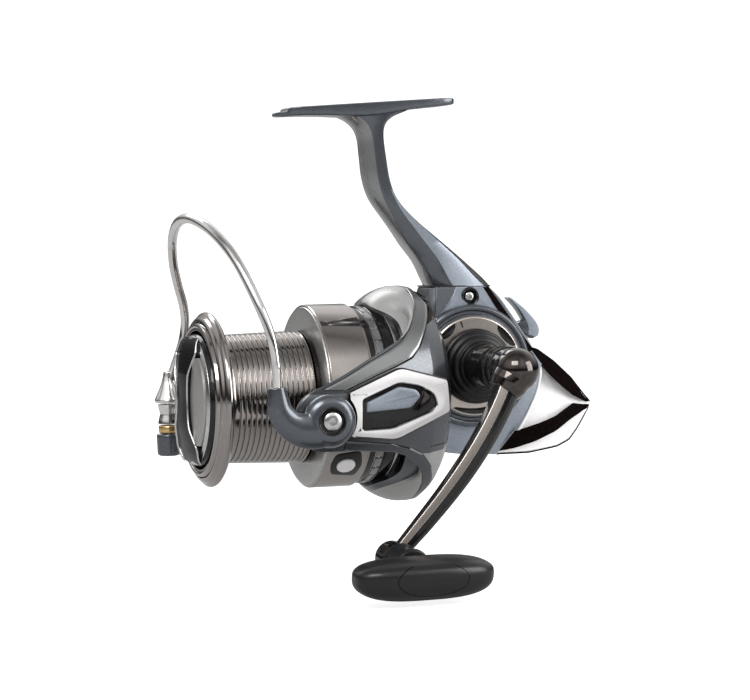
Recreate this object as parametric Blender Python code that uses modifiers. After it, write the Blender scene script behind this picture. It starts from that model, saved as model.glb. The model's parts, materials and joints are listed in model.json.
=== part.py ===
"""Long-cast spinning reel, built as separate solids around one spool axis.

The reel hangs under its foot. The origin is the middle of the foot seat, +X runs forward along
the spool axis, +Z runs up towards the rod and +Y is the handle side. Lengths below are in
millimetres. Heights called "up" are measured from the spool axis.
"""
import math

import bmesh
import bpy
from mathutils import Matrix, Vector

MM = 0.001
GAP = 0.3

# Driving dimensions
SPOOL_AXIS_DROP = 114.6
FOOT_TILT_DEG = 3.3
FOOT_FRONT = 35.5
FOOT_REAR = -38.5
FOOT_HALF_WIDTH = 8.0
FOOT_THICKNESS = 3.4
LIP_X = 64.0
LIP_RADIUS = 34.0
ARBOR_RADIUS = 25.2
SKIRT_RADIUS = 36.0
SKIRT_FRONT = 24.8
SKIRT_REAR = 1.0
SHAFT_RADIUS = 2.5
BORE_RADIUS = 2.9
PINION_SLEEVE_RADIUS = 5.0
PINION_TEETH = 9
DRIVE_TEETH = 41
WORM_TEETH = 13
WORM_RADIUS = 3.0
WORM_CENTRE = (0.0, -1.0, -12.2)
ROD_RADIUS = 1.5
ROD_CENTRE = (0.0, -8.8, -7.0)
ROTOR_REAR = -24.4
ARM_RADIUS = 42.3
ARM_INNER_RADIUS = 38.3
HANDLE_X = -40.2
HANDLE_UP = 10.6
HEAD_Y = 62.5
CRANK_END_X = 10.7
CRANK_END_Y = 64.0
CRANK_END_UP = -58.0
KNOB_DIRECTION = Vector((-0.08, 1.0, -0.115)).normalized()
PIVOT_X = 29.2
PIVOT_UP = -7.0
SEAM_UP = 41.3
SPLIT_Y = 3.0
ROLLER_X = 68.5
ROLLER_Y = -45.0
CLIP_X = 16.4
CLIP_ANGLE = math.radians(45.0)
BAR_FRONT = 75.0
LENS_RADIUS = 22.6
HOLDER_INNER = 44.6
HOLDER_OUTER = 50.6
WIRE_RADIUS = 1.5
CRANK_BAR_RADIUS = 4.1
STEPS = 28

COLOURS = {
    "body_paint": ((0.33, 0.36, 0.40), 0.35, 0.7),
    "spool_metal": ((0.42, 0.39, 0.37), 0.22, 1.0),
    "chrome": ((0.80, 0.78, 0.77), 0.08, 1.0),
    "dark_chrome": ((0.12, 0.11, 0.10), 0.12, 1.0),
    "steel": ((0.60, 0.60, 0.60), 0.30, 1.0),
    "brass": ((0.72, 0.52, 0.25), 0.30, 1.0),
    "bronze": ((0.36, 0.30, 0.26), 0.20, 1.0),
    "black_plastic": ((0.02, 0.02, 0.022), 0.45, 0.0),
    "gloss_black": ((0.015, 0.013, 0.012), 0.10, 0.0),
    "rubber": ((0.018, 0.018, 0.02), 0.60, 0.0),
    "felt": ((0.25, 0.22, 0.18), 0.95, 0.0),
}


def clear_scene():
    for obj in list(bpy.data.objects):
        bpy.data.objects.remove(obj, do_unlink=True)


def new_collection(name):
    collection = bpy.data.collections.new(name)
    bpy.context.scene.collection.children.link(collection)
    return collection


clear_scene()
PARTS = new_collection("spinning_reel")
CUTTERS = new_collection("cutters")


def make_material(name):
    colour, roughness, metallic = COLOURS[name]
    material = bpy.data.materials.new(name)
    material.use_nodes = True
    shader = material.node_tree.nodes["Principled BSDF"]
    shader.inputs["Base Color"].default_value = (*colour, 1.0)
    shader.inputs["Roughness"].default_value = roughness
    shader.inputs["Metallic"].default_value = metallic
    return material


MATERIALS = {name: make_material(name) for name in COLOURS}


def place(x, y, up):
    """World position in metres of a point given in millimetres, with its height from the spool axis."""
    return Vector((x, y, up - SPOOL_AXIS_DROP)) * MM


def add_object(name, mesh, material):
    """Link a finished sub-part, or a hidden cutter when the material is None."""
    obj = bpy.data.objects.new(name, mesh)
    if material is None:
        CUTTERS.objects.link(obj)
        obj.hide_render = True
        obj.display_type = "WIRE"
        return obj
    mesh.materials.clear()
    mesh.materials.append(MATERIALS[material])
    PARTS.objects.link(obj)
    return obj


def boolean(target, tool, operation):
    modifier = target.modifiers.new(operation.lower(), "BOOLEAN")
    modifier.operation = operation
    modifier.object = tool
    modifier.solver = "EXACT"
    return target


def cut(target, *tools):
    for tool in tools:
        boolean(target, tool, "DIFFERENCE")
    return target


def join(target, *tools):
    for tool in tools:
        boolean(target, tool, "UNION")
    return target


def keep_common(target, *tools):
    for tool in tools:
        boolean(target, tool, "INTERSECT")
    return target


AXIS_TURNS = {
    "X": Matrix.Rotation(math.radians(90.0), 4, "Y"),
    "Y": Matrix.Rotation(math.radians(-90.0), 4, "X"),
    "Z": Matrix.Identity(4),
}


def direction_turn(direction):
    return direction.to_track_quat("Z", "Y").to_matrix().to_4x4()


def direction_frame(first, second):
    third = first.cross(second).normalized()
    return Matrix((first, second, third)).transposed().to_4x4()


def shade_smooth(mesh, angle_deg=35.0):
    mesh.shade_smooth()
    mesh.set_sharp_from_angle(angle=math.radians(angle_deg))


def lathe(name, profile, material, axis="X", centre=(0.0, 0.0, 0.0), steps=STEPS):
    """Turn a profile of (distance along the axis, radius) points about an axis through centre."""
    closing = list(profile) + [profile[0]]
    area = sum(a[0] * b[1] - b[0] * a[1] for a, b in zip(closing, closing[1:]))
    ordered = list(reversed(profile)) if area < 0.0 else list(profile)
    on_axis = ordered[0][1] == 0.0 and ordered[-1][1] == 0.0
    mesh = bpy.data.meshes.new(name)
    shape = bmesh.new()
    verts = [shape.verts.new((radius * MM, 0.0, along * MM)) for along, radius in ordered]
    pairs = list(zip(verts, verts[1:]))
    if not on_axis:
        pairs.append((verts[-1], verts[0]))
    for first, second in pairs:
        shape.edges.new((first, second))
    shape.to_mesh(mesh)
    shape.free()
    obj = add_object(name, mesh, material)
    screw = obj.modifiers.new("turn", "SCREW")
    screw.steps = steps
    screw.render_steps = steps
    screw.use_merge_vertices = True
    screw.merge_threshold = 0.00001
    screw.use_smooth_shade = True
    turn = AXIS_TURNS[axis] if isinstance(axis, str) else direction_turn(axis)
    obj.matrix_world = Matrix.Translation(place(*centre)) @ turn
    return obj


def disc(name, radius, low, high, material, axis="X", centre=(0.0, 0.0, 0.0), steps=STEPS, chamfer=0.0):
    """A solid cylinder from low to high along the axis, with an optional chamfer at both ends."""
    if chamfer:
        profile = [(high, 0.0), (high, radius - chamfer), (high - chamfer, radius),
                   (low + chamfer, radius), (low, radius - chamfer), (low, 0.0)]
    else:
        profile = [(high, 0.0), (high, radius), (low, radius), (low, 0.0)]
    return lathe(name, profile, material, axis, centre, steps)


def washer(name, inner, outer, low, high, material, axis="X", centre=(0.0, 0.0, 0.0), steps=STEPS):
    profile = [(high, inner), (high, outer), (low, outer), (low, inner)]
    return lathe(name, profile, material, axis, centre, steps)


PLANES = {
    "XZ": Matrix(((1, 0, 0, 0), (0, 0, -1, 0), (0, 1, 0, 0), (0, 0, 0, 1))),
    "YZ": Matrix(((0, 0, 1, 0), (1, 0, 0, 0), (0, 1, 0, 0), (0, 0, 0, 1))),
    "XY": Matrix.Identity(4),
}


def mesh_from_curve(name, curve, matrix):
    """Turn a curve into a welded mesh, so that it can be cut and joined."""
    source = bpy.data.objects.new(name + "_curve", curve)
    CUTTERS.objects.link(source)
    source.matrix_world = matrix
    graph = bpy.context.evaluated_depsgraph_get()
    graph.update()
    mesh = bpy.data.meshes.new_from_object(source.evaluated_get(graph))
    shape = bmesh.new()
    shape.from_mesh(mesh)
    bmesh.ops.remove_doubles(shape, verts=shape.verts, dist=0.000005)
    bmesh.ops.recalc_face_normals(shape, faces=shape.faces)
    shape.to_mesh(mesh)
    shape.free()
    bpy.data.objects.remove(source, do_unlink=True)
    bpy.data.curves.remove(curve)
    mesh.name = name
    return mesh


def prism(name, outlines, low, high, material, plane="XZ", centre=(0.0, 0.0, 0.0), turn=None):
    """Extrude closed outlines (the first one solid, the others holes) between two depths.

    The plane's outline axes are X and up for "XZ" (depth along Y), Y and up for "YZ" (depth along
    X), and X and Y for "XY" (depth along Z).
    """
    curve = bpy.data.curves.new(name, "CURVE")
    curve.dimensions = "2D"
    curve.fill_mode = "BOTH"
    curve.extrude = (high - low) / 2.0 * MM
    for outline in outlines:
        spline = curve.splines.new("POLY")
        spline.points.add(len(outline) - 1)
        for point, (across, along) in zip(spline.points, outline):
            point.co = (across * MM, along * MM, 0.0, 1.0)
        spline.use_cyclic_u = True
    middle = (low + high) / 2.0 * MM
    depth = {"XZ": Vector((0, middle, 0)), "YZ": Vector((middle, 0, 0)), "XY": Vector((0, 0, middle))}
    matrix = Matrix.Translation(place(*centre)) @ (turn or Matrix.Identity(4))
    matrix = matrix @ Matrix.Translation(depth[plane]) @ PLANES[plane]
    mesh = mesh_from_curve(name, curve, matrix)
    obj = add_object(name, mesh, material)
    obj.matrix_world = matrix
    return obj


def box(name, low, high, material=None):
    """A block between two corners given in millimetres, with heights from the spool axis."""
    mesh = bpy.data.meshes.new(name)
    shape = bmesh.new()
    bmesh.ops.create_cube(shape, size=1.0)
    size = [(b - a) * MM for a, b in zip(low, high)]
    bmesh.ops.scale(shape, vec=size, verts=shape.verts)
    shape.to_mesh(mesh)
    shape.free()
    obj = add_object(name, mesh, material)
    obj.location = place(*[(a + b) / 2.0 for a, b in zip(low, high)])
    return obj


def turned_block(name, turn, spans, material=None, centre=(0.0, 0.0, 0.0)):
    """A block given by its three spans in a turned frame about centre."""
    mesh = bpy.data.meshes.new(name)
    shape = bmesh.new()
    bmesh.ops.create_cube(shape, size=1.0)
    ordered = [sorted(span) for span in spans]
    bmesh.ops.scale(shape, vec=[(b - a) * MM for a, b in ordered], verts=shape.verts)
    bmesh.ops.translate(shape, vec=[(a + b) / 2.0 * MM for a, b in ordered], verts=shape.verts)
    shape.to_mesh(mesh)
    shape.free()
    obj = add_object(name, mesh, material)
    obj.matrix_world = Matrix.Translation(place(*centre)) @ turn
    return obj


def tube(name, points, radius, material, resolution=2):
    """A round wire or bar through points given in millimetres, as a closed mesh."""
    curve = bpy.data.curves.new(name, "CURVE")
    curve.dimensions = "3D"
    curve.bevel_depth = radius * MM
    curve.bevel_resolution = resolution
    curve.use_fill_caps = True
    spline = curve.splines.new("POLY")
    spline.points.add(len(points) - 1)
    for point, position in zip(spline.points, points):
        point.co = (*(Vector(position) * MM), 1.0)
    matrix = Matrix.Translation(place(0.0, 0.0, 0.0))
    mesh = mesh_from_curve(name, curve, matrix)
    shade_smooth(mesh)
    obj = add_object(name, mesh, material)
    obj.matrix_world = matrix
    return obj


def smooth_path(points, per_span=3):
    """Catmull-Rom points through a short list of guide points."""
    guides = [Vector(p) for p in points]
    ends = [2 * guides[0] - guides[1]] + guides + [2 * guides[-1] - guides[-2]]
    path = []
    for i in range(1, len(ends) - 2):
        before, start, finish, after = ends[i - 1:i + 3]
        for step in range(per_span):
            t = step / per_span
            path.append(0.5 * (2 * start + (finish - before) * t
                               + (2 * before - 5 * start + 4 * finish - after) * t ** 2
                               + (3 * start - before - 3 * finish + after) * t ** 3))
    path.append(guides[-1])
    return path


def arc(x, up, radius, start_deg, end_deg, count):
    points = []
    for i in range(count):
        angle = math.radians(start_deg + (end_deg - start_deg) * i / (count - 1))
        points.append((x + radius * math.cos(angle), up + radius * math.sin(angle)))
    return points


def circle(x, up, radius, count):
    return arc(x, up, radius, 0.0, 360.0 * (count - 1) / count, count)


def ellipse(half_width, half_height, count):
    turns = [math.tau * i / count for i in range(count)]
    return [(half_width * math.cos(turn), half_height * math.sin(turn)) for turn in turns]


def gear_outline(x, up, tip, root, teeth, phase=0.0):
    """A trapezoid tooth outline: two points on the root circle and two on the tip circle a tooth."""
    points = []
    for tooth in range(teeth):
        for share, radius in ((0.0, root), (0.30, root), (0.42, tip), (0.78, tip)):
            angle = math.tau * (tooth + share + phase) / teeth
            points.append((x + radius * math.cos(angle), up + radius * math.sin(angle)))
    return points


def superellipsoid(name, half_sizes, power, material, centre, turn, rings=10, segments=18):
    """A pillow-like solid: a sphere whose points are pushed towards the corners of its box."""
    mesh = bpy.data.meshes.new(name)
    shape = bmesh.new()
    bmesh.ops.create_uvsphere(shape, u_segments=segments, v_segments=rings, radius=1.0)
    for vert in shape.verts:
        direction = vert.co.copy()
        reach = sum(abs(part) ** power for part in direction) ** (1.0 / power)
        vert.co = Vector([part / reach * half * MM for part, half in zip(direction, half_sizes)])
    shape.to_mesh(mesh)
    shape.free()
    shade_smooth(mesh, 50.0)
    obj = add_object(name, mesh, material)
    obj.matrix_world = Matrix.Translation(place(*centre)) @ turn
    return obj


# ---------------------------------------------------------------------------------------------
# Body: foot, stem, housing, near side cover and tail
# ---------------------------------------------------------------------------------------------
HOUSING_FRONT = -18.5
TAIL_EDGE = [(-71.7, 15.4), (-69.0, 7.5), (-68.2, 0.0), (-61.3, -11.9), (-50.4, -25.2)]
HOUSING_SIDE = [
    (HOUSING_FRONT, -22.5), (HOUSING_FRONT, 24.5), (-30.6, 26.5), (-30.6, 37.0), (-31.4, SEAM_UP),
    (-54.6, 39.4), (-57.8, 36.0), (-61.4, 31.2), (-68.8, 20.6), *TAIL_EDGE, (-34.0, -24.6),
]
STEM_SIDE = [
    (-31.4, SEAM_UP), (-28.9, 46.5), (-23.6, 52.8), (-16.2, 60.8), (-9.2, 69.6), (-3.6, 77.2),
    (-1.0, 85.1), (-0.1, 93.1), (0.6, 100.6), (3.0, 105.4), (7.0, 108.6), (14.0, 110.4),
    (14.0, 111.8), (-22.0, 113.6), (-22.0, 111.8), (-13.0, 110.4), (-8.6, 107.0), (-7.6, 102.6),
    (-9.2, 88.8), (-10.4, 82.9), (-13.0, 76.9), (-18.4, 70.9), (-26.7, 64.1), (-39.2, 54.3),
    (-52.6, 42.0), (-54.6, 39.4),
]
FRONT_VIEW_HALF = [
    (13.0, -25.6), (15.0, -19.0), (15.0, 27.0), (12.4, SEAM_UP), (9.2, 55.0), (6.8, 74.0), (6.6, 104.0),
    (7.4, 114.6),
]
CAVITY_SIDE = [
    (-21.0, -20.0), (-21.0, 22.4), (-33.0, 24.4), (-33.0, 35.6), (-47.6, 35.6), (-54.4, 27.4),
    (-62.6, 15.8), (-65.8, 9.4), (-66.4, 6.0), (-65.9, 0.6), (-59.4, -10.8), (-49.6, -22.4), (-34.0, -22.0),
]
CAVITY_HALF_WIDTH = 12.5
BEARING_SEAT = 8.3
SHAFT_CENTRE = (HANDLE_X, 0.0, HANDLE_UP)


def mirrored(half):
    return half + [(-across, up) for across, up in reversed(half)]


def rear_slope(name, sign):
    """A block that trims one side's rear edge to a long slope, from the flat side to the narrow spine."""
    along = Vector((-18.8, 0.0, -25.0)).normalized()
    across = Vector((5.0, 11.0 * sign, 0.0)).normalized()
    outward = along.cross(across).normalized() * -sign
    return turned_block(name, direction_frame(along, outward), ((-45.0, 60.0), (0.0, 30.0), (-40.0, 40.0)),
                        centre=(-53.0, 2.0 * sign, 41.0))


def build_frame():
    foot_turn = Matrix.Rotation(math.radians(FOOT_TILT_DEG), 4, "Y")
    foot_outline = (arc(FOOT_FRONT - FOOT_HALF_WIDTH, 0.0, FOOT_HALF_WIDTH, -90.0, 90.0, 12)
                    + arc(FOOT_REAR + FOOT_HALF_WIDTH, 0.0, FOOT_HALF_WIDTH, 90.0, 270.0, 12))
    frame = prism("body_frame", [foot_outline], -FOOT_THICKNESS, 0.0, "body_paint", "XY",
                  (0.0, 0.0, SPOOL_AXIS_DROP), foot_turn)
    outline = [*HOUSING_SIDE[:5], *STEM_SIDE[1:-1], *HOUSING_SIDE[5:]]
    side = prism("frame_side", [outline], -20.0, 20.0, None)
    front = prism("frame_front", [mirrored(FRONT_VIEW_HALF)], -80.0, 20.0, None, "YZ")
    keep_common(side, front)
    cut(side, rear_slope("frame_slope_near", 1.0), rear_slope("frame_slope_far", -1.0))
    join(frame, side)
    neck = disc("frame_neck", 15.0, -19.5, -9.0, None)
    far_boss = disc("frame_far_boss", 12.0, -19.0, -13.0, None, "Y", SHAFT_CENTRE)
    join(frame, neck, far_boss)
    cavity = prism("frame_cavity", [CAVITY_SIDE], -CAVITY_HALF_WIDTH, SPLIT_Y + 1.0, None)
    open_side = box("frame_open_side", (-90.0, SPLIT_Y, -40.0), (-17.0, 30.0, SEAM_UP))
    neck_bore = disc("frame_neck_bore", 13.3, -22.0, -8.0, None)
    far_bore = disc("frame_far_bore", BEARING_SEAT, -20.0, -12.0, None, "Y", SHAFT_CENTRE)
    cut(frame, cavity, neck_bore, far_bore)
    # The neck reaches past the split plane, so only the housing behind it is opened.
    neck_guard = disc("frame_neck_guard", 15.3, -20.6, -5.0, None)
    cut(open_side, neck_guard)
    cut(frame, open_side)


def build_side_cover():
    cover = prism("side_cover", [HOUSING_SIDE], SPLIT_Y + GAP, 20.0, "body_paint")
    front = prism("cover_front", [mirrored(FRONT_VIEW_HALF)], -80.0, 20.0, None, "YZ")
    below_seam = box("cover_below_seam", (-90.0, 0.0, -40.0), (-17.0, 30.0, SEAM_UP - GAP))
    keep_common(cover, front, below_seam)
    cut(cover, rear_slope("cover_slope", 1.0))
    boss = lathe("cover_boss", [
        (17.0, 0.0), (17.0, 20.2), (15.9, 20.2), (15.9, 22.2), (16.6, 22.2), (16.6, 24.0), (13.6, 24.0), (13.6, 0.0)],
        None, "Y", SHAFT_CENTRE, 32)
    cavity = prism("cover_cavity", [CAVITY_SIDE], SPLIT_Y - 1.0, CAVITY_HALF_WIDTH, None)
    cut(cover, cavity)
    join(cover, boss)
    bore = disc("cover_bore", BEARING_SEAT, 10.0, 20.0, None, "Y", SHAFT_CENTRE)
    neck_room = disc("cover_neck_room", 15.6, -25.0, -8.0, None)
    in_front = box("cover_in_front", (HOUSING_FRONT + GAP, 0.0, -40.0), (10.0, 30.0, 50.0))
    cut(cover, bore, neck_room, in_front, rotor_room("cover_rotor_room"))
    for name, (x, y, up) in COVER_SCREWS.items():
        seat = disc(name + "_seat", 3.0, y - 2.4, y + 6.0, None, "Y", (x, 0.0, up), 20)
        cut(cover, seat)


def rotor_room(name):
    """The space swept by the rotor's rear rim, kept clear by what reaches into it."""
    return washer(name, 31.2, 60.0, ROTOR_REAR - 0.9, -10.0, None, steps=32)


COVER_SCREWS = {
    "cover_screw_top": (-39.4, 12.0, 37.3),
    "cover_screw_front": (-25.0, 14.6, -17.6),
    "cover_screw_rear": (-64.6, 14.6, 13.0),
}


def build_cover_screws():
    for name, (x, y, up) in COVER_SCREWS.items():
        head = y - 2.1
        screw = lathe(name, [(head + 2.0, 0.0), (head + 2.0, 1.7), (head + 1.5, 2.3), (head, 2.3), (head, 0.0)],
                      "steel", "Y", (x, 0.0, up), 18)
        socket = prism(name + "_socket", [circle(x, up, 1.0, 6)], head + 1.0, head + 4.0, None)
        cut(screw, socket)


TAIL_SIDE = [
    (-72.4, 15.2), (-79.4, 10.2), (-87.2, 3.6), (-95.6, -5.8), (-95.6, -6.6), (-95.0, -8.4), (-88.2, -17.4),
    (-84.7, -21.4), (-78.9, -23.7), (-65.8, -25.6), (-50.9, -25.5), (-61.8, -12.2), (-68.7, -0.2),
    (-69.5, 7.6),
]
TAIL_CAVITY = [
    (-73.2, 10.6), (-77.0, 6.4), (-82.8, 2.2), (-88.6, -2.6), (-91.4, -8.0), (-85.8, -15.6), (-83.4, -18.8),
    (-78.4, -21.2), (-66.0, -23.0), (-52.0, -23.2), (-48.0, -23.0), (-60.0, -11.0), (-66.0, 0.0), (-66.0, 9.0),
]


def build_tail():
    """The tail shell, open towards the housing."""
    half_plan = [(-44.0, 14.6), (-60.0, 14.4), (-76.0, 11.8), (-90.0, 6.8), (-96.5, 3.4)]
    plan_outline = half_plan + [(x, -y) for x, y in reversed(half_plan)]
    rear_cover = prism("rear_cover", [TAIL_SIDE], -16.0, 16.0, "chrome")
    plan_tool = prism("tail_plan", [plan_outline], -40.0, 40.0, None, "XY")
    keep_common(rear_cover, plan_tool)
    inner_plan = [(x + 2.2, y - 2.2 if y > 0 else y + 2.2) for x, y in plan_outline]
    cavity = prism("tail_cavity", [TAIL_CAVITY], -16.0, 16.0, None)
    inner_tool = prism("tail_inner_plan", [inner_plan], -40.0, 40.0, None, "XY")
    keep_common(cavity, inner_tool)
    cut(rear_cover, cavity)


def build_body():
    build_frame()
    build_side_cover()
    build_cover_screws()
    build_tail()
    side_ring = washer("side_ring", 8.6, 19.7, 17.3, 18.3, "bronze", "Y", SHAFT_CENTRE, 32)
    cut(side_ring, rotor_room("ring_rotor_room"))
    washer("drive_bearing_near", 4.3, 8.0, 13.0, 16.6, "steel", "Y", SHAFT_CENTRE, 28)
    washer("drive_bearing_far", 4.3, 8.0, -18.6, -15.0, "steel", "Y", SHAFT_CENTRE, 28)
    lathe("shaft_cap", [(-19.3, 0.0), (-19.3, 11.6), (-22.0, 11.6), (-23.4, 10.2), (-24.0, 7.0), (-24.0, 0.0)],
          "dark_chrome", "Y", SHAFT_CENTRE, 24)
    washer("pinion_bearing", 5.3, 13.0, -20.4, -16.8, "steel", steps=24)
    washer("one_way_clutch", 5.3, 13.0, -16.5, -9.4, "steel", steps=24)


def build_lever():
    """The anti-reverse lever: a hook that stands behind the stem and swings sideways."""
    outline = [
        (-61.8, 39.4), (-64.6, 37.2), (-67.4, 35.7), (-70.6, 31.6), (-72.6, 27.5), (-74.3, 22.2),
        (-73.6, 19.6), (-71.2, 18.4), (-69.4, 21.2), (-67.1, 24.7), (-67.4, 27.0), (-68.2, 29.6), (-66.6, 32.4),
        (-64.4, 35.6),
    ]
    prism("anti_reverse_lever", [outline], -3.0, 3.0, "body_paint")


# ---------------------------------------------------------------------------------------------
# Drive train and handle
# ---------------------------------------------------------------------------------------------
ARM_TOP = Vector((HANDLE_X, HEAD_Y, HANDLE_UP))
ARM_END = Vector((CRANK_END_X, CRANK_END_Y, CRANK_END_UP))
ARM_LINE = (ARM_END - ARM_TOP).normalized()
FOLD_AXIS = ARM_LINE.cross(Vector((0.0, 1.0, 0.0))).normalized()


def knob_lathe(name, profile, material, steps=28):
    """A round piece on the knob's own axis; distances start at the end of the crank arm."""
    return lathe(name, profile, material, KNOB_DIRECTION, tuple(ARM_END), steps)


def build_drive():
    prism("drive_gear", [gear_outline(HANDLE_X, HANDLE_UP, 15.2, 13.8, DRIVE_TEETH),
                         circle(HANDLE_X, HANDLE_UP, 4.3, 20)], 5.6, 8.6, "brass")
    disc("drive_shaft", 4.0, -18.4, 21.0, "steel", "Y", SHAFT_CENTRE, 24)
    pinion = prism("pinion_gear", [gear_outline(0.0, 0.0, 5.0, 3.9, PINION_TEETH),
                                   circle(0.0, 0.0, BORE_RADIUS, 18)], -33.0, -25.0, "brass", "YZ")
    sleeve = washer("pinion_sleeve", BORE_RADIUS, PINION_SLEEVE_RADIUS, -25.4, 20.6, None, steps=18)
    join(pinion, sleeve)


def build_oscillation():
    """A worm shaft beside the main shaft, and the slider that it drives along a guide rod."""
    worm = disc("worm_shaft", WORM_RADIUS, -55.2, -22.6, "steel", "X", WORM_CENTRE, 14)
    for turn in range(4):
        start = -53.0 + 8.0 * turn
        groove = washer(f"worm_groove_{turn}", WORM_RADIUS - 0.7, WORM_RADIUS + 1.0, start, start + 1.6,
                        None, "X", WORM_CENTRE, 14)
        cut(worm, groove)
    prism("worm_gear", [gear_outline(WORM_CENTRE[1], WORM_CENTRE[2], 6.8, 5.7, WORM_TEETH),
                        circle(WORM_CENTRE[1], WORM_CENTRE[2], WORM_RADIUS + GAP, 14)],
          -26.0, -23.4, "brass", "YZ")
    slider = box("oscillation_slider", (-61.6, -3.6, -4.8), (-57.6, 3.6, 4.6), "steel")
    riser = box("slider_riser", (-60.2, -3.2, -7.8), (-57.8, 3.2, -4.0))
    bridge = box("slider_bridge", (-60.0, -3.4, -8.0), (-51.4, 3.4, -5.5))
    carriage = box("slider_carriage", (-53.8, -11.6, -16.4), (-48.8, 3.8, -5.4))
    join(slider, riser, bridge, carriage)
    hole_ends = (-66.0, -48.0)
    shaft_hole = disc("slider_shaft_hole", SHAFT_RADIUS + GAP, *hole_ends, None, steps=16)
    rod_hole = disc("slider_rod_hole", ROD_RADIUS + GAP, *hole_ends, None, "X", ROD_CENTRE, 12)
    worm_hole = disc("slider_worm_hole", WORM_RADIUS + GAP, *hole_ends, None, "X", WORM_CENTRE, 14)
    cut(slider, shaft_hole, rod_hole, worm_hole)
    disc("slider_rod", ROD_RADIUS, -58.6, -24.0, "steel", "X", ROD_CENTRE, 12)
    disc("main_shaft", SHAFT_RADIUS, -62.2, 66.0, "steel", steps=20)


def build_handle():
    lathe("handle_collar", [(18.7, 4.4), (18.7, 15.0), (20.6, 15.0), (21.4, 13.6), (23.4, 13.4), (24.2, 11.8),
                            (26.2, 11.6), (27.4, 9.6), (28.2, 9.4), (28.2, 8.0), (21.4, 8.0), (21.4, 4.4)],
          "rubber", "Y", SHAFT_CENTRE, 26)
    barrel = disc("handle_barrel", 7.6, 21.4, HEAD_Y, "dark_chrome", "Y", SHAFT_CENTRE, 18)
    head = superellipsoid("head_ball", (8.5, 8.5, 8.5), 2.0, None, tuple(ARM_TOP), Matrix.Identity(4), 10, 18)
    join(barrel, head)
    # The arm's forked root straddles the flattened ball and turns on the fold pin.
    turn = direction_frame(FOLD_AXIS, ARM_LINE)
    flats = [turned_block(f"head_flat_{side}", turn, ((side * 4.1, side * 12.0), (-6.8, 12.0), (-6.8, 12.0)),
                          centre=tuple(ARM_TOP)) for side in (-1, 1)]
    pin_hole = lathe("head_pin_hole", [(6.0, 0.0), (6.0, 1.8), (-6.0, 1.8), (-6.0, 0.0)], None, FOLD_AXIS,
                     tuple(ARM_TOP), 16)
    cut(barrel, *flats, pin_hole)
    disc("fold_pin", 1.5, -7.2, 7.2, "steel", FOLD_AXIS, tuple(ARM_TOP), 16)
    build_arm(turn)


def build_arm(turn):
    root = ARM_TOP + ARM_LINE * 9.2
    bow = Vector((-1.0, 0.6, -0.7))
    reach = ARM_END - root
    guides = [root + reach * share + bow * (5.0 * math.sin(math.pi * share)) for share in
              (0.0, 0.2, 0.4, 0.6, 0.8, 1.0)]
    arm = tube("handle_arm", smooth_path(guides, 1), CRANK_BAR_RADIUS, "dark_chrome", 2)
    boss = lathe("arm_boss", [(5.2, 0.0), (5.2, 5.4), (4.2, 6.2), (-3.6, 6.2), (-5.0, 4.8), (-5.0, 0.0)], None,
                 KNOB_DIRECTION, tuple(ARM_END), 18)
    join(arm, boss)
    for side in (-1, 1):
        cheek = lathe(f"arm_cheek_{side}", [(side * 6.9, 0.0), (side * 6.9, 5.2), (side * 4.5, 6.2),
                                            (side * 4.5, 0.0)], None, FOLD_AXIS, tuple(ARM_TOP), 18)
        web = turned_block(f"arm_web_{side}", turn, ((side * 4.8, side * 6.3), (2.5, 10.0), (-4.2, 4.2)),
                           centre=tuple(ARM_TOP))
        join(arm, cheek, web)
    root_block = turned_block("arm_root_block", turn, ((-6.0, 6.0), (9.3, 12.6), (-4.0, 4.0)),
                              centre=tuple(ARM_TOP))
    join(arm, root_block)
    pin_hole = lathe("arm_pin_hole", [(12.0, 0.0), (12.0, 1.8), (-12.0, 1.8), (-12.0, 0.0)], None, FOLD_AXIS,
                     tuple(ARM_TOP), 16)
    knob_hole = lathe("arm_knob_hole", [(12.0, 0.0), (12.0, 2.3), (-12.0, 2.3), (-12.0, 0.0)], None,
                      KNOB_DIRECTION, tuple(ARM_END), 16)
    cut(arm, pin_hole, knob_hole)


def build_knob():
    knob_lathe("knob_stem", [(30.0, 0.0), (30.0, 2.0), (-5.4, 2.0), (-5.4, 3.6), (-6.8, 3.2), (-6.8, 0.0)],
               "steel", 18)
    knob_lathe("knob_neck", [(17.4, 2.3), (17.4, 7.6), (11.0, 6.2), (5.6, 7.4), (5.6, 2.3)], "rubber", 24)
    turn = direction_frame(KNOB_DIRECTION.cross(Vector((0.0, 0.0, 1.0))).normalized(), KNOB_DIRECTION)
    centre = ARM_END + KNOB_DIRECTION * 27.0
    knob = superellipsoid("handle_knob", (27.4, 10.4, 8.9), 2.6, "black_plastic", tuple(centre), turn, 10, 20)
    bore = knob_lathe("knob_bore", [(31.0, 0.0), (31.0, 2.4), (10.0, 2.4), (10.0, 0.0)], None, 18)
    neck_seat = knob_lathe("knob_neck_seat", [(17.8, 0.0), (17.8, 8.0), (8.0, 8.0), (8.0, 0.0)], None, 24)
    cap_seat = prism("knob_cap_seat", [ellipse(14.2, 6.2, 28)], 8.4, 16.0, None, "XZ", tuple(centre), turn)
    cut(knob, bore, neck_seat, cap_seat)
    prism("knob_cap", [ellipse(13.9, 5.9, 28)], 8.7, 11.2, "black_plastic", "XZ", tuple(centre), turn)


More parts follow.
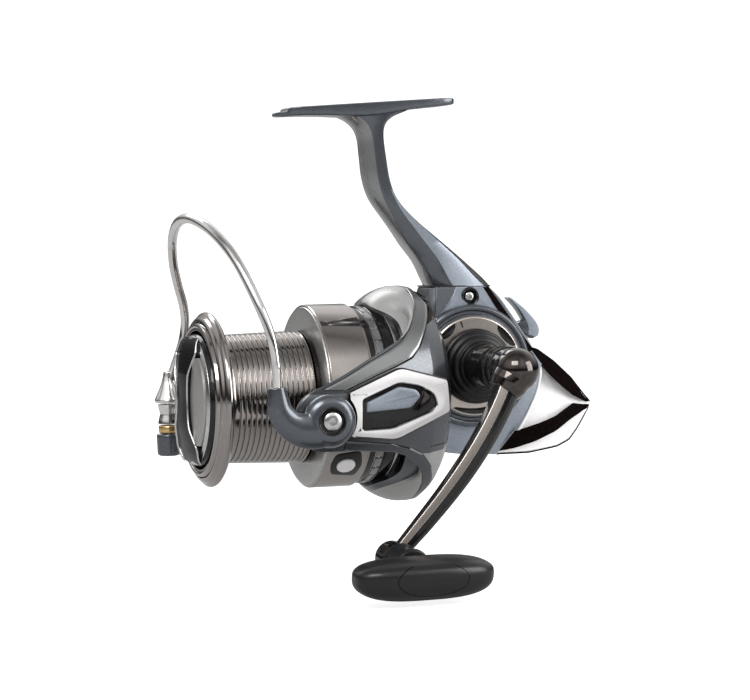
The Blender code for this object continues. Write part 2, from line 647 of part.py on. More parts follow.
# ---------------------------------------------------------------------------------------------
# Rotor and bail
# ---------------------------------------------------------------------------------------------
ROTOR_SIDE = [
    (-32.0, -46.0), (-14.0, -46.0), (-14.0, -31.0), (-11.0, -24.0), (-4.0, -19.8), (6.0, -19.2), (22.0, -18.6),
    *arc(PIVOT_X, PIVOT_UP, 11.0, -100.0, 60.0, 9), (24.0, 5.8), (5.0, 17.6), (-1.0, 20.6), (-10.5, 24.6),
    (-14.0, 30.0), (-14.0, 46.0), (-32.0, 46.0),
]
TRIM_OUTER = [(20.4, 3.2), (-0.6, 12.3), (-19.6, 7.0), (-20.4, -5.3), (0.8, -15.4), (19.6, -13.2)]
TRIM_INNER = [(14.6, 0.6), (0.0, 7.4), (-8.0, 5.9), (-14.4, 2.2), (-15.4, -2.4), (2.6, -11.2), (14.6, -11.6)]
SIDES = {"near": 1.0, "far": -1.0}


def side_tool(name, side, inner, outer):
    """A block on one side of the spool axis, to keep only that side's arm."""
    low, high = sorted((SIDES[side] * inner, SIDES[side] * outer))
    return box(name, (-60.0, low, -60.0), (80.0, high, 60.0))


def build_rotor():
    rotor = lathe("rotor", [
        (17.0, 5.3), (17.0, 29.8), (16.2, 30.5), (0.4, 30.5), (0.4, 33.8), (-3.4, 34.2), (-4.0, 33.0),
        (-7.0, 33.6), (-7.6, 30.5), (-12.0, 30.5), (-18.0, 34.6), (ROTOR_REAR, 34.6), (ROTOR_REAR, 32.4),
        (-18.5, 32.4), (-13.0, 28.4), (14.6, 28.4), (14.6, 10.0), (-6.4, 10.0), (-6.4, 5.3)],
        "body_paint", steps=30)
    shell = lathe("rotor_shell", [
        (44.0, ARM_RADIUS), (-14.0, ARM_RADIUS), (-20.4, 39.2), (-24.0, 35.4), (-24.0, 33.8), (-20.0, 34.2),
        (-14.0, ARM_INNER_RADIUS), (44.0, ARM_INNER_RADIUS)], None, steps=40)
    outline = prism("rotor_outline", [ROTOR_SIDE], -50.0, 50.0, None)
    keep_common(shell, outline)
    join(rotor, shell)
    for side, sign in SIDES.items():
        low, high = sorted((sign * (ARM_RADIUS - 2.2), sign * (ARM_RADIUS + 4.0)))
        pocket = prism(f"arm_pocket_{side}", [TRIM_INNER], low, high, None)
        screw_hole = disc(f"pivot_hole_{side}", 2.3, *sorted((sign * 30.0, sign * 60.0)), None, "Y",
                          (PIVOT_X, 0.0, PIVOT_UP), 16)
        cut(rotor, pocket, screw_hole)
    prism("rotor_nut", [circle(0.0, 0.0, 8.4, 6), circle(0.0, 0.0, 5.3, 24)], 17.3, 20.9, "steel", "YZ")
    for side, sign in SIDES.items():
        trim = washer(f"arm_trim_{side}", ARM_RADIUS + GAP, ARM_RADIUS + 1.9, -24.0, 24.0, "chrome", steps=72)
        outer = prism(f"trim_outer_{side}", [TRIM_OUTER], -50.0, 50.0, None)
        inner = prism(f"trim_inner_{side}", [TRIM_INNER], -50.0, 50.0, None)
        half = side_tool(f"trim_half_{side}", side, 10.0, 60.0)
        boss_room = disc(f"trim_boss_room_{side}", 10.9, -60.0, 60.0, None, "Y", (PIVOT_X, 0.0, PIVOT_UP), 32)
        keep_common(trim, outer, half)
        cut(trim, inner, boss_room)
        low, high = sorted((sign * (ARM_RADIUS - 1.9), sign * (ARM_RADIUS - 0.4)))
        prism(f"arm_plate_{side}", [[(13.8, 0.2), (0.0, 6.6), (-7.6, 5.2), (-9.0, 3.4), (-4.0, -3.4),
                                     (13.8, -4.4)]], low, high, "body_paint")
    spring_path = []
    turns, points_a_turn, length, radius = 6, 8, 10.0, 1.3
    for i in range(turns * points_a_turn + 1):
        angle = math.tau * i / points_a_turn
        along = length * i / (turns * points_a_turn)
        spring_path.append((3.0 + along, 0.2 - ARM_RADIUS + radius * math.cos(angle), -7.6 + radius * math.sin(angle)))
    tube("bail_spring", spring_path, 0.35, "steel", 1)


WIRE_GUIDES = [
    (50.0, 47.4, 6.4), (51.0, 47.6, 16.0), (53.2, 47.0, 26.5), (56.5, 43.4, 39.0), (60.8, 35.5, 53.0),
    (64.4, 25.5, 61.7), (67.6, 13.5, 67.6), (70.3, 0.0, 70.4), (71.4, -13.0, 68.4), (70.4, -25.0, 62.0),
    (68.2, -33.0, 53.0), (65.2, -38.0, 44.0), (62.4, -41.0, 36.0), (61.2, -43.2, 29.0), (62.2, -44.4, 21.0),
    (65.2, -45.0, 12.0), (67.8, ROLLER_Y, 4.0), (ROLLER_X, ROLLER_Y, -3.4),
]


def build_bail():
    near_outline = [*arc(PIVOT_X, PIVOT_UP, 10.2, 60.0, 285.0, 16), (40.0, -16.4), (47.6, -13.4), (52.8, -7.6),
                    (54.6, 0.0), (53.8, 7.2), (46.2, 6.8), (44.6, 3.0), (40.8, 0.4), (37.4, 0.2)]
    near = prism("bail_holder_near", [near_outline], HOLDER_INNER, HOLDER_OUTER, "body_paint")
    far_outline = [*arc(PIVOT_X, PIVOT_UP, 9.6, 60.0, 285.0, 14), (46.0, -19.4), (58.0, -23.0), (66.0, -24.6),
                   (72.4, -23.4), (72.9, -16.4), (64.0, -15.6), (54.0, -11.0), (44.0, -2.6), (38.0, 0.6)]
    far = prism("bail_arm_far", [far_outline], -HOLDER_OUTER, -HOLDER_INNER, "body_paint")
    barrel = disc("far_barrel", 4.8, -24.8, -15.7, None, "Z", (ROLLER_X, ROLLER_Y, 0.0), 20)
    join(far, barrel)
    for side, sign in SIDES.items():
        holder = near if side == "near" else far
        foot = disc(f"holder_boss_{side}", 9.2, *sorted((sign * (ARM_RADIUS + GAP), sign * 46.0)), None, "Y",
                    (PIVOT_X, 0.0, PIVOT_UP), 24)
        join(holder, foot)
        seat = disc(f"pivot_seat_{side}", 5.4, *sorted((sign * 48.4, sign * 60.0)), None, "Y",
                    (PIVOT_X, 0.0, PIVOT_UP), 20)
        hole = disc(f"pivot_bore_{side}", 2.3, *sorted((sign * 40.0, sign * 60.0)), None, "Y",
                    (PIVOT_X, 0.0, PIVOT_UP), 16)
        cut(holder, seat, hole)
        screw = lathe(f"pivot_screw_{side}", [
            (sign * 51.0, 0.0), (sign * 51.0, 2.4), (sign * 50.2, 3.8), (sign * 48.7, 4.0), (sign * 48.7, 2.0),
            (sign * 39.5, 2.0), (sign * 39.5, 0.0)], "steel", "Y", (PIVOT_X, 0.0, PIVOT_UP), 16)
        socket = prism(f"pivot_socket_{side}", [circle(PIVOT_X, PIVOT_UP, 1.6, 6)],
                       *sorted((sign * 49.6, sign * 53.0)), None)
        cut(screw, socket)
    wire = tube("bail_wire", smooth_path(WIRE_GUIDES, 2), WIRE_RADIUS, "chrome", 1)
    cone = lathe("wire_cone", [(4.0, 0.0), (4.0, 1.4), (-0.6, 3.2), (-3.4, 4.2), (-3.4, 0.0)], None, "Z",
                 (ROLLER_X, ROLLER_Y, 0.0), 24)
    join(wire, cone)
    socket_path = [(50.0, 47.4, 1.0), (50.0, 47.4, 6.2), (50.9, 47.5, 15.0)]
    socket = tube("holder_socket", socket_path, WIRE_RADIUS + GAP, None, 2)
    cut(near, socket)
    washer("line_roller", 1.9, 4.2, -11.9, -3.7, "chrome", "Z", (ROLLER_X, ROLLER_Y, 0.0), 24)
    washer("roller_collar", 1.9, 3.9, -15.4, -12.2, "brass", "Z", (ROLLER_X, ROLLER_Y, 0.0), 24)


# ---------------------------------------------------------------------------------------------
# Spool, drag and drag knob
# ---------------------------------------------------------------------------------------------
def build_spool():
    groove_count = 4
    arbor = []
    for i in range(groove_count):
        x = 55.0 - 7.0 * i
        radius = ARBOR_RADIUS - 0.5 + 1.1 * i / groove_count
        arbor += [(x, radius), (x - 0.7, radius - 0.4), (x - 1.4, radius)]
    spool = lathe("spool", [
        (50.0, BORE_RADIUS), (50.0, 21.0), (60.4, 21.0), (60.4, 27.6), (68.6, 27.6), (68.6, 29.0),
        (67.6, 30.2), (61.0, 30.2), (60.0, 29.6), (58.6, 24.9), *arbor, (28.4, 25.9), (26.8, 24.4),
        (26.8, 22.6), (25.2, 22.6), (SKIRT_FRONT, 35.5), (SKIRT_FRONT - 0.5, SKIRT_RADIUS), (7.2, SKIRT_RADIUS),
        (6.8, 35.3), (4.6, 35.3), (4.2, 34.9), (SKIRT_REAR, 34.9), (SKIRT_REAR, 33.4), (22.2, 33.4),
        (22.2, 19.0), (47.0, 19.0), (47.0, 6.5), (22.2, 6.5), (22.2, BORE_RADIUS)], "spool_metal", steps=32)
    lathe("spool_lip", [(67.3, 30.5), (66.6, 32.2), (65.8, 33.4), (LIP_X, LIP_RADIUS), (62.8, 33.6),
                        (61.4, 32.0), (61.4, 30.5)], "spool_metal", steps=32)
    # The line clip stands on a dark plate let into the skirt, each block's second span pointing outward.
    clip_turn = Matrix.Rotation(-CLIP_ANGLE, 4, "X")
    pocket = turned_block("clip_pocket", clip_turn, ((CLIP_X - 4.8, CLIP_X + 4.8), (35.0, 38.0), (-6.8, 6.8)))
    cut(spool, pocket)
    turned_block("line_clip_plate", clip_turn, ((CLIP_X - 4.4, CLIP_X + 4.4), (35.3, 36.5), (-6.4, 6.4)),
                 "gloss_black")
    outward = Vector((0.0, math.cos(CLIP_ANGLE), -math.sin(CLIP_ANGLE)))
    lathe("line_clip", [(37.8, 0.0), (37.8, 2.4), (37.4, 3.1), (36.8, 3.1), (36.8, 0.0)], "chrome", outward,
          (CLIP_X, 0.0, 0.0), 20)


def build_drag():
    start = 50.3
    for name, thickness, material in (("drag_felt_rear", 1.0, "felt"), ("drag_plate_rear", 0.8, "steel"),
                                      ("drag_felt_front", 1.0, "felt"), ("drag_plate_front", 0.8, "steel")):
        keyed = name.startswith("drag_plate")
        inner = BORE_RADIUS if keyed else 4.0
        outer = 19.6 if keyed else 20.6
        washer(name, inner, outer, start, start + thickness, material, steps=24)
        start += thickness + GAP
    washer("drag_clip", 18.4, 20.6, start, start + 0.8, "steel", steps=24)
    washer("spool_washer", BORE_RADIUS, 6.0, 21.3, 21.9, "steel", steps=20)
    knob = lathe("drag_knob", [
        (70.6, 0.0), (70.6, 23.4), (69.4, 25.4), (68.0, 26.0), (63.4, 26.2), (62.0, 25.4), (62.0, 16.0),
        (55.6, 16.0), (55.6, 3.2), (67.0, 3.2), (67.0, 0.0)], "black_plastic", steps=30)
    # The grip bar is waisted in front view, and its ends slope back to the rim.
    heights = (-18.3, -12.0, -6.0, 0.0, 6.0, 12.0, 18.3)
    waist = [(bar_half_width(up), up) for up in heights]
    bar_front = [*waist, (10.0, 24.4), (-10.0, 24.4), *[(-y, up) for y, up in reversed(waist)], (-10.0, -24.4),
                 (10.0, -24.4)]
    bar = prism("knob_bar", [bar_front], 69.0, 80.0, None, "YZ")
    slopes = prism("knob_bar_slopes", [[(68.0, -30.0), (70.0, -24.6), (72.0, -23.0), (BAR_FRONT, -11.0),
                                        (BAR_FRONT, 11.0), (72.0, 23.0), (70.0, 24.6), (68.0, 30.0)]],
                   -20.0, 20.0, None)
    keep_common(bar, slopes)
    join(knob, bar)
    lens_heights = (-16.6, -12.0, -6.0, 0.0, 6.0, 12.0, 16.6)
    lens = [(bar_half_width(up) + GAP, up) for up in lens_heights]
    lens += [(math.sqrt(LENS_RADIUS ** 2 - up ** 2), up) for up in reversed(lens_heights)]
    for name, sign in (("knob_lens_near", 1.0), ("knob_lens_far", -1.0)):
        prism(name, [[(sign * across, up) for across, up in lens]], 70.9, 72.2, "chrome", "YZ")


def bar_half_width(up):
    return 7.5 + 6.5 * (up / 18.3) ** 2


def main():
    build_body()
    build_lever()
    build_drive()
    build_oscillation()
    build_handle()
    build_knob()
    build_rotor()
    build_bail()
    build_spool()
    build_drag()


main()
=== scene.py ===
"""Long-cast spinning reel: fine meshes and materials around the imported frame."""
import json
import math

import bmesh
import bpy
import numpy as np
from mathutils import Matrix, Vector


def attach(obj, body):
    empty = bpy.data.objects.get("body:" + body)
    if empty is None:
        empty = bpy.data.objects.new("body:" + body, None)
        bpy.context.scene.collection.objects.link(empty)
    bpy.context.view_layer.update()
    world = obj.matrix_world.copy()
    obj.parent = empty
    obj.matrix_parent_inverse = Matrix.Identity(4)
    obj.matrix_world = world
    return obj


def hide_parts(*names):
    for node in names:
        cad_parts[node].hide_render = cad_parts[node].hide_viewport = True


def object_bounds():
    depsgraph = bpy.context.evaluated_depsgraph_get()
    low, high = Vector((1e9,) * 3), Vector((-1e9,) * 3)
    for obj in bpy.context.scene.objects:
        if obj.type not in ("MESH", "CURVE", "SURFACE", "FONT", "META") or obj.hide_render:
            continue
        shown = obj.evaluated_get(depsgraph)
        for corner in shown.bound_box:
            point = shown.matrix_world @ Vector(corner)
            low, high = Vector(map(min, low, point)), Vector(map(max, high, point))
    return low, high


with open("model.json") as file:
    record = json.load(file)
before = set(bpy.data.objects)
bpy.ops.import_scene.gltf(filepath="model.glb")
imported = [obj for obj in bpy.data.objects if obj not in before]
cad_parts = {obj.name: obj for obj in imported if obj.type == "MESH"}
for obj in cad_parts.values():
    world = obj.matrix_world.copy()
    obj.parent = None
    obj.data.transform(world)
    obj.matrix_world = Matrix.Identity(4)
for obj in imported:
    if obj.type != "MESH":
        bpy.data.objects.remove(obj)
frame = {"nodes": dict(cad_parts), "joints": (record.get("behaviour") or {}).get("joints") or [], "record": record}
CAD_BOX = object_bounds()

MM = 0.001
AXIS_UP = frame["joints"][[j["name"] for j in frame["joints"]].index("rotor_spin")]["pos_m"][2]
TAU = math.tau


def at(x, y, up):
    """A point in metres from millimetres along the spool axis, sideways, and above the axis."""
    return Vector((x * MM, y * MM, AXIS_UP + up * MM))


# ---------------------------------------------------------------------------------------------
# Camera, light and floor
# ---------------------------------------------------------------------------------------------
CAMERA_TURN = (18.561, 2.246, -0.988)
CAMERA_TARGET = Vector((-4.857, 0.0, -97.276)) * MM
CAMERA_DISTANCE = 1.06274
LIGHT_TARGET = Vector((-0.005, 0.0, -0.10))


def add_camera():
    """On the handle side, turned towards the front by the first angle and raised by the second."""
    yaw, pitch, roll = (math.radians(angle) for angle in CAMERA_TURN)
    toward = Vector((math.sin(yaw) * math.cos(pitch), math.cos(yaw) * math.cos(pitch), math.sin(pitch)))
    right = (-toward).cross(Vector((0.0, 0.0, 1.0))).normalized()
    above = right.cross(-toward)
    side = math.cos(roll) * right + math.sin(roll) * above
    top = -math.sin(roll) * right + math.cos(roll) * above
    data = bpy.data.cameras.new("camera")
    data.sensor_width = 36.0
    data.lens = 128.87
    data.clip_start = 0.01
    data.clip_end = 50.0
    camera = bpy.data.objects.new("camera", data)
    bpy.context.scene.collection.objects.link(camera)
    turn = Matrix((side, top, toward)).transposed().to_4x4()
    camera.matrix_world = Matrix.Translation(CAMERA_TARGET + toward * CAMERA_DISTANCE) @ turn
    bpy.context.scene.camera = camera


def add_area(name, position, size, power):
    """A soft box that faces the reel."""
    data = bpy.data.lights.new(name, "AREA")
    data.shape = "RECTANGLE"
    data.size, data.size_y = size
    data.energy = power
    light = bpy.data.objects.new(name, data)
    bpy.context.scene.collection.objects.link(light)
    light.location = position
    aim = LIGHT_TARGET - Vector(position)
    light.rotation_euler = aim.to_track_quat("-Z", "Y").to_euler()


def add_world():
    """A white studio: bright walls, a few dark cards, all plain to the camera."""
    world = bpy.data.worlds.new("studio")
    bpy.context.scene.world = world
    world.use_nodes = True
    tree = world.node_tree
    tree.nodes.clear()
    out = tree.nodes.new("ShaderNodeOutputWorld")
    shade = tree.nodes.new("ShaderNodeBackground")
    coords = tree.nodes.new("ShaderNodeTexCoord")
    split = tree.nodes.new("ShaderNodeSeparateXYZ")
    height = tree.nodes.new("ShaderNodeValToRGB")
    turn = tree.nodes.new("ShaderNodeMath")
    turn.operation = "ARCTAN2"
    span = tree.nodes.new("ShaderNodeMapRange")
    span.inputs["From Min"].default_value = -math.pi
    span.inputs["From Max"].default_value = math.pi
    around = tree.nodes.new("ShaderNodeValToRGB")
    mix = tree.nodes.new("ShaderNodeMix")
    mix.data_type = "RGBA"
    mix.blend_type = "MULTIPLY"
    mix.inputs["Factor"].default_value = 1.0
    paths = tree.nodes.new("ShaderNodeLightPath")
    plain = tree.nodes.new("ShaderNodeMix")
    plain.data_type = "RGBA"
    plain.inputs["B"].default_value = (1.0, 1.0, 1.0, 1.0)
    link = tree.links.new
    link(coords.outputs["Generated"], split.inputs[0])
    lift = tree.nodes.new("ShaderNodeMapRange")
    lift.inputs["From Min"].default_value = -1.0
    link(split.outputs["Z"], lift.inputs["Value"])
    link(lift.outputs[0], height.inputs["Fac"])
    link(split.outputs["Y"], turn.inputs[0])
    link(split.outputs["X"], turn.inputs[1])
    link(turn.outputs[0], span.inputs["Value"])
    link(span.outputs[0], around.inputs["Fac"])
    set_ramp(height, HEIGHT_STOPS)
    set_ramp(around, AROUND_STOPS)
    shade.inputs["Strength"].default_value = 1.2
    link(height.outputs[0], mix.inputs["A"])
    link(around.outputs[0], mix.inputs["B"])
    link(mix.outputs["Result"], plain.inputs["A"])
    link(paths.outputs["Is Camera Ray"], plain.inputs["Factor"])
    link(plain.outputs["Result"], shade.inputs["Color"])
    link(shade.outputs[0], out.inputs["Surface"])


# Brightness of the studio by height (0 straight down, 0.5 level, 1 straight up) and by direction
# around (0.25 is -Y, 0.5 is +X, 0.75 is +Y, 0 and 1 are -X).
HEIGHT_STOPS = [(0.0, 0.34), (0.18, 0.42), (0.37, 0.24), (0.47, 0.05), (0.53, 0.05), (0.58, 0.18),
                (0.66, 0.70), (0.74, 1.05), (0.86, 1.10), (0.94, 0.55), (1.0, 0.40)]
AROUND_STOPS = [(0.0, 0.7), (0.12, 0.85), (0.25, 0.95), (0.40, 0.7), (0.455, 0.25), (0.52, 0.9), (0.62, 1.0),
                (0.70, 0.8), (0.74, 0.7), (0.80, 1.0), (0.92, 0.45), (1.0, 0.7)]


def set_ramp(node, stops):
    """Stops of a colour ramp node; a plain number stands for a grey."""
    ramp = node.color_ramp
    while len(ramp.elements) < len(stops):
        ramp.elements.new(0.5)
    for element, (position, value) in zip(ramp.elements, stops):
        element.position = position
        colour = value if isinstance(value, tuple) else (value, value, value)
        element.color = (*colour, 1.0)


# ---------------------------------------------------------------------------------------------
# Materials
# ---------------------------------------------------------------------------------------------
def material(name, base, alt, roughness, metallic=1.0, grain=900.0, flake=0.0, stretch=(1.0, 1.0, 1.0),
             bump=0.003, bump_scale=2500.0, wear=0.25, wear_colour=None, coat=0.0, spread=0.06, sheen=0.0,
             specular=0.5):
    """A procedural finish: two-tone grain, uneven roughness, fine bump and rubbed edges."""
    mat = bpy.data.materials.new(name)
    mat.use_nodes = True
    tree = mat.node_tree
    shader = tree.nodes["Principled BSDF"]
    link = tree.links.new
    coords = tree.nodes.new("ShaderNodeTexCoord")
    mapping = tree.nodes.new("ShaderNodeMapping")
    mapping.inputs["Scale"].default_value = stretch
    link(coords.outputs["Object"], mapping.inputs["Vector"])

    def noise(scale, detail=4.0):
        node = tree.nodes.new("ShaderNodeTexNoise")
        node.inputs["Scale"].default_value = scale
        node.inputs["Detail"].default_value = detail
        link(mapping.outputs[0], node.inputs["Vector"])
        return node

    tone = noise(grain)
    ramp = tree.nodes.new("ShaderNodeValToRGB")
    set_ramp(ramp, [(0.36, base), (0.64, alt)])
    link(tone.outputs["Fac"], ramp.inputs["Fac"])
    colour = ramp.outputs[0]
    if flake:
        cells = tree.nodes.new("ShaderNodeTexVoronoi")
        cells.inputs["Scale"].default_value = 5200.0
        link(coords.outputs["Object"], cells.inputs["Vector"])
        glint = tree.nodes.new("ShaderNodeHueSaturation")
        value = tree.nodes.new("ShaderNodeMapRange")
        value.inputs["To Min"].default_value = 1.0 - flake
        value.inputs["To Max"].default_value = 1.0 + flake
        link(cells.outputs["Color"], value.inputs["Value"])
        link(value.outputs[0], glint.inputs["Value"])
        link(colour, glint.inputs["Color"])
        colour = glint.outputs[0]
    if wear:
        geometry = tree.nodes.new("ShaderNodeNewGeometry")
        edge = tree.nodes.new("ShaderNodeMapRange")
        edge.inputs["From Min"].default_value = 0.53
        edge.inputs["From Max"].default_value = 0.62
        edge.inputs["To Max"].default_value = wear
        link(geometry.outputs["Pointiness"], edge.inputs["Value"])
        blend = tree.nodes.new("ShaderNodeMix")
        blend.data_type = "RGBA"
        rubbed = wear_colour or tuple(min(1.0, 1.6 * c + 0.06) for c in alt)
        blend.inputs["B"].default_value = (*rubbed, 1.0)
        link(edge.outputs[0], blend.inputs["Factor"])
        link(colour, blend.inputs["A"])
        colour = blend.outputs["Result"]
    link(colour, shader.inputs["Base Color"])
    rough = tree.nodes.new("ShaderNodeMapRange")
    rough.inputs["To Min"].default_value = max(0.02, roughness - spread)
    rough.inputs["To Max"].default_value = roughness + spread
    link(noise(grain * 0.6, 6.0).outputs["Fac"], rough.inputs["Value"])
    link(rough.outputs[0], shader.inputs["Roughness"])
    relief = tree.nodes.new("ShaderNodeBump")
    relief.inputs["Strength"].default_value = bump
    relief.inputs["Distance"].default_value = 0.0002
    link(noise(bump_scale, 3.0).outputs["Fac"], relief.inputs["Height"])
    link(relief.outputs[0], shader.inputs["Normal"])
    shader.inputs["Metallic"].default_value = metallic
    shader.inputs["Coat Weight"].default_value = coat
    shader.inputs["Coat Roughness"].default_value = 0.08
    shader.inputs["Specular IOR Level"].default_value = specular
    shader.inputs["Sheen Weight"].default_value = sheen
    return mat


PAINT = material("satin_metallic_paint", (0.082, 0.090, 0.103), (0.104, 0.113, 0.127), 0.24, 0.7, 1400.0,
                 0.04, coat=0.35, spread=0.03)
PAINT_LIGHT = material("light_metallic_paint", (0.235, 0.265, 0.31), (0.28, 0.312, 0.36), 0.34, 0.45, 1400.0,
                       0.04, coat=0.3, spread=0.03)
ROTOR_PAINT = material("rotor_paint", (0.088, 0.094, 0.102), (0.106, 0.113, 0.122), 0.25, 0.75, 1300.0, 0.03,
                       coat=0.35, spread=0.03)
# A lighter copy of the rotor paint: painted light on the upper arm ribbons and the stem's lit facets, and also the
# grey of the spool's notched ring.
ROTOR_PAINT_LIT = material("rotor_paint_lit_copy", (0.215, 0.218, 0.22), (0.235, 0.238, 0.24), 0.22, 0.75, 1300.0,
                        0.015, coat=0.4, spread=0.02)
ROTOR_PALE = material("rotor_pale_paint", (0.35, 0.35, 0.345), (0.38, 0.378, 0.375), 0.42, 0.35, 1300.0, 0.03,
                      coat=0.2)
SPOOL = material("polished_champagne_metal", (0.33, 0.305, 0.288), (0.36, 0.333, 0.316), 0.09, 1.0, 400.0,
                 stretch=(12.0, 1.0, 1.0), bump=0.004, spread=0.02)
SATIN_METAL = material("satin_spool_face", (0.42, 0.415, 0.41), (0.50, 0.495, 0.49), 0.36, 0.85, 900.0)
LIP = material("spool_lip_metal", (0.30, 0.28, 0.268), (0.33, 0.308, 0.295), 0.1, 1.0, 400.0,
               stretch=(12.0, 1.0, 1.0), spread=0.02)
CHROME = material("chrome_plate", (0.66, 0.645, 0.635), (0.73, 0.715, 0.705), 0.08, 1.0, 500.0, bump=0.01,
                  spread=0.03)
# Painted reflection: a near-white, mostly non-metal silver that looks bright whatever the studio, used for the
# chrome trims and the line clip's button.
SILVER_WHITE_REFLECTION = material("silver_with_painted_white_reflection", (0.84, 0.825, 0.825), (0.88, 0.865, 0.865), 0.2, 0.35, 300.0,
                        bump=0.002, spread=0.02, wear=0.0)
DARK_CHROME = material("smoked_chrome", (0.050, 0.043, 0.039), (0.080, 0.069, 0.063), 0.08, 1.0, 500.0,
                       bump=0.01, spread=0.03, coat=0.4)
# Painted reflection: the chrome tail cover is a flat non-metal white, standing in for the bright studio that it
# mirrors.
TAIL_WHITE_REFLECTION = material("tail_plate_painted_white_reflection", (0.90, 0.885, 0.885), (0.94, 0.925, 0.925), 0.34, 0.0, 500.0,
                       bump=0.004, wear=0.0)
LENS = material("smoked_satin_lens", (0.36, 0.355, 0.345), (0.40, 0.39, 0.38), 0.38, 0.7, 500.0, coat=0.2,
                spread=0.02)
STEEL = material("machined_steel", (0.50, 0.50, 0.50), (0.62, 0.62, 0.61), 0.24, 1.0, 1500.0)
GOLD = material("gold_anodised", (0.62, 0.42, 0.18), (0.74, 0.53, 0.26), 0.2, 1.0, 900.0)
BRONZE = material("polished_bronze", (0.47, 0.42, 0.385), (0.50, 0.45, 0.415), 0.24, 0.9, 300.0,
                  bump=0.0008, spread=0.01, wear=0.0)
BLACK_GLOSS = material("gloss_black", (0.006, 0.0055, 0.0055), (0.012, 0.011, 0.011), 0.09, 0.0, 900.0,
                       specular=0.4, wear_colour=(0.03, 0.03, 0.032))
BLACK_SATIN = material("satin_black_plastic", (0.007, 0.007, 0.0075), (0.009, 0.009, 0.0095), 0.30, 0.0,
                       700.0, specular=0.4, spread=0.015, bump=0.004, wear=0.0)
RUBBER = material("black_rubber", (0.005, 0.005, 0.0055), (0.010, 0.010, 0.011), 0.30, 0.0, 1300.0,
                  bump=0.06, specular=0.3, wear_colour=(0.04, 0.04, 0.045))
# A near-black brown for the spool's dark neck; on the stem's rear faces the same colour is a painted dark
# reflection.
BROWN_BLACK = material("dark_brown_lacquer_and_painted_dark_reflection", (0.005, 0.0034, 0.003), (0.009, 0.006, 0.0055), 0.26, 0.0, 700.0,
                       specular=0.2, wear_colour=(0.05, 0.04, 0.038))
GRIP_BLACK = material("polished_black_grip", (0.007, 0.0068, 0.0068), (0.012, 0.0115, 0.0115), 0.16, 0.0,
                      900.0, specular=0.03, wear=0.1)
# Painted reflection: a matt near-black for the bands along the rear edge of the housing and tail, where the chrome
# and paint mirror a dark studio card.
DARK_REFLECTION_BLACK = material("matt_brown_painted_dark_reflection", (0.004, 0.0028, 0.0025), (0.007, 0.005, 0.0045), 0.6, 0.0, 700.0,
                   specular=0.0, wear=0.0)
FELT = material("pressed_felt", (0.20, 0.17, 0.13), (0.30, 0.26, 0.21), 0.9, 0.0, 2500.0, bump=0.5, sheen=0.3)
BRASS = material("cut_brass", (0.60, 0.42, 0.17), (0.74, 0.54, 0.25), 0.28, 1.0, 1200.0)

SLOT_MATERIALS = {
    "body_paint": PAINT, "cover_paint": PAINT_LIGHT, "rotor_paint": ROTOR_PAINT, "spool_metal": SPOOL,
    "chrome": CHROME, "dark_chrome": DARK_CHROME, "steel": STEEL, "brass": BRASS, "bronze": BRONZE,
    "black_plastic": BLACK_SATIN, "gloss_black": BLACK_GLOSS, "rubber": RUBBER, "felt": FELT,
}


def paint_frame():
    """Every carried-over node takes the finish of its record slot."""
    slots = {part["node"]: part["material_slot"] for part in frame["record"]["subparts"]}
    for node, obj in frame["nodes"].items():
        mat = SLOT_MATERIALS[slots[node]]
        if not obj.material_slots:
            obj.data.materials.append(mat)
        for place in obj.material_slots:
            place.material = mat


# ---------------------------------------------------------------------------------------------
# Mesh helpers
# ---------------------------------------------------------------------------------------------
SHARP = 32.0
SIDES = (("near", 1.0), ("far", -1.0))
SECTION_POINTS = 28


def add(name, mesh, mat, body=None, node=None, sharp=SHARP):
    """Links a finished mesh, as a piece of a body and in place of a node where these are given."""
    obj = bpy.data.objects.new(name, mesh)
    bpy.context.scene.collection.objects.link(obj)
    if not mesh.materials:
        mesh.materials.append(mat)
    mesh.shade_smooth()
    mesh.set_sharp_from_angle(angle=math.radians(sharp))
    if body:
        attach(obj, body)
        if node:
            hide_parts(node)
    return obj


def soften(points, radius, steps=3, closed=True):
    """Rounds every corner of a polygon; a radius list gives each corner its own."""
    count = len(points)
    radii = radius if isinstance(radius, (list, tuple)) else [radius] * count
    out = []
    for i, point in enumerate(points):
        here = Vector(point)
        if not closed and i in (0, count - 1):
            out.append(here)
            continue
        before = Vector(points[i - 1]) - here
        after = Vector(points[(i + 1) % count]) - here
        reach = min(radii[i], 0.45 * before.length, 0.45 * after.length)
        if reach < 1e-4:
            out.append(here)
            continue
        start = here + before.normalized() * reach
        end = here + after.normalized() * reach
        for step in range(steps + 1):
            t = step / steps
            out.append((1 - t) ** 2 * start + 2 * t * (1 - t) * here + t * t * end)
    return out


def curve_through(points, per_span=8):
    """Catmull-Rom points through guide points of any dimension."""
    guides = [Vector(p) for p in points]
    ends = [2 * guides[0] - guides[1]] + guides + [2 * guides[-1] - guides[-2]]
    path = []
    for i in range(1, len(ends) - 2):
        a, b, c, d = ends[i - 1:i + 3]
        for step in range(per_span):
            t = step / per_span
            path.append(0.5 * (2 * b + (c - a) * t + (2 * a - 5 * b + 4 * c - d) * t ** 2
                               + (3 * b - a - 3 * c + d) * t ** 3))
    path.append(guides[-1])
    return path


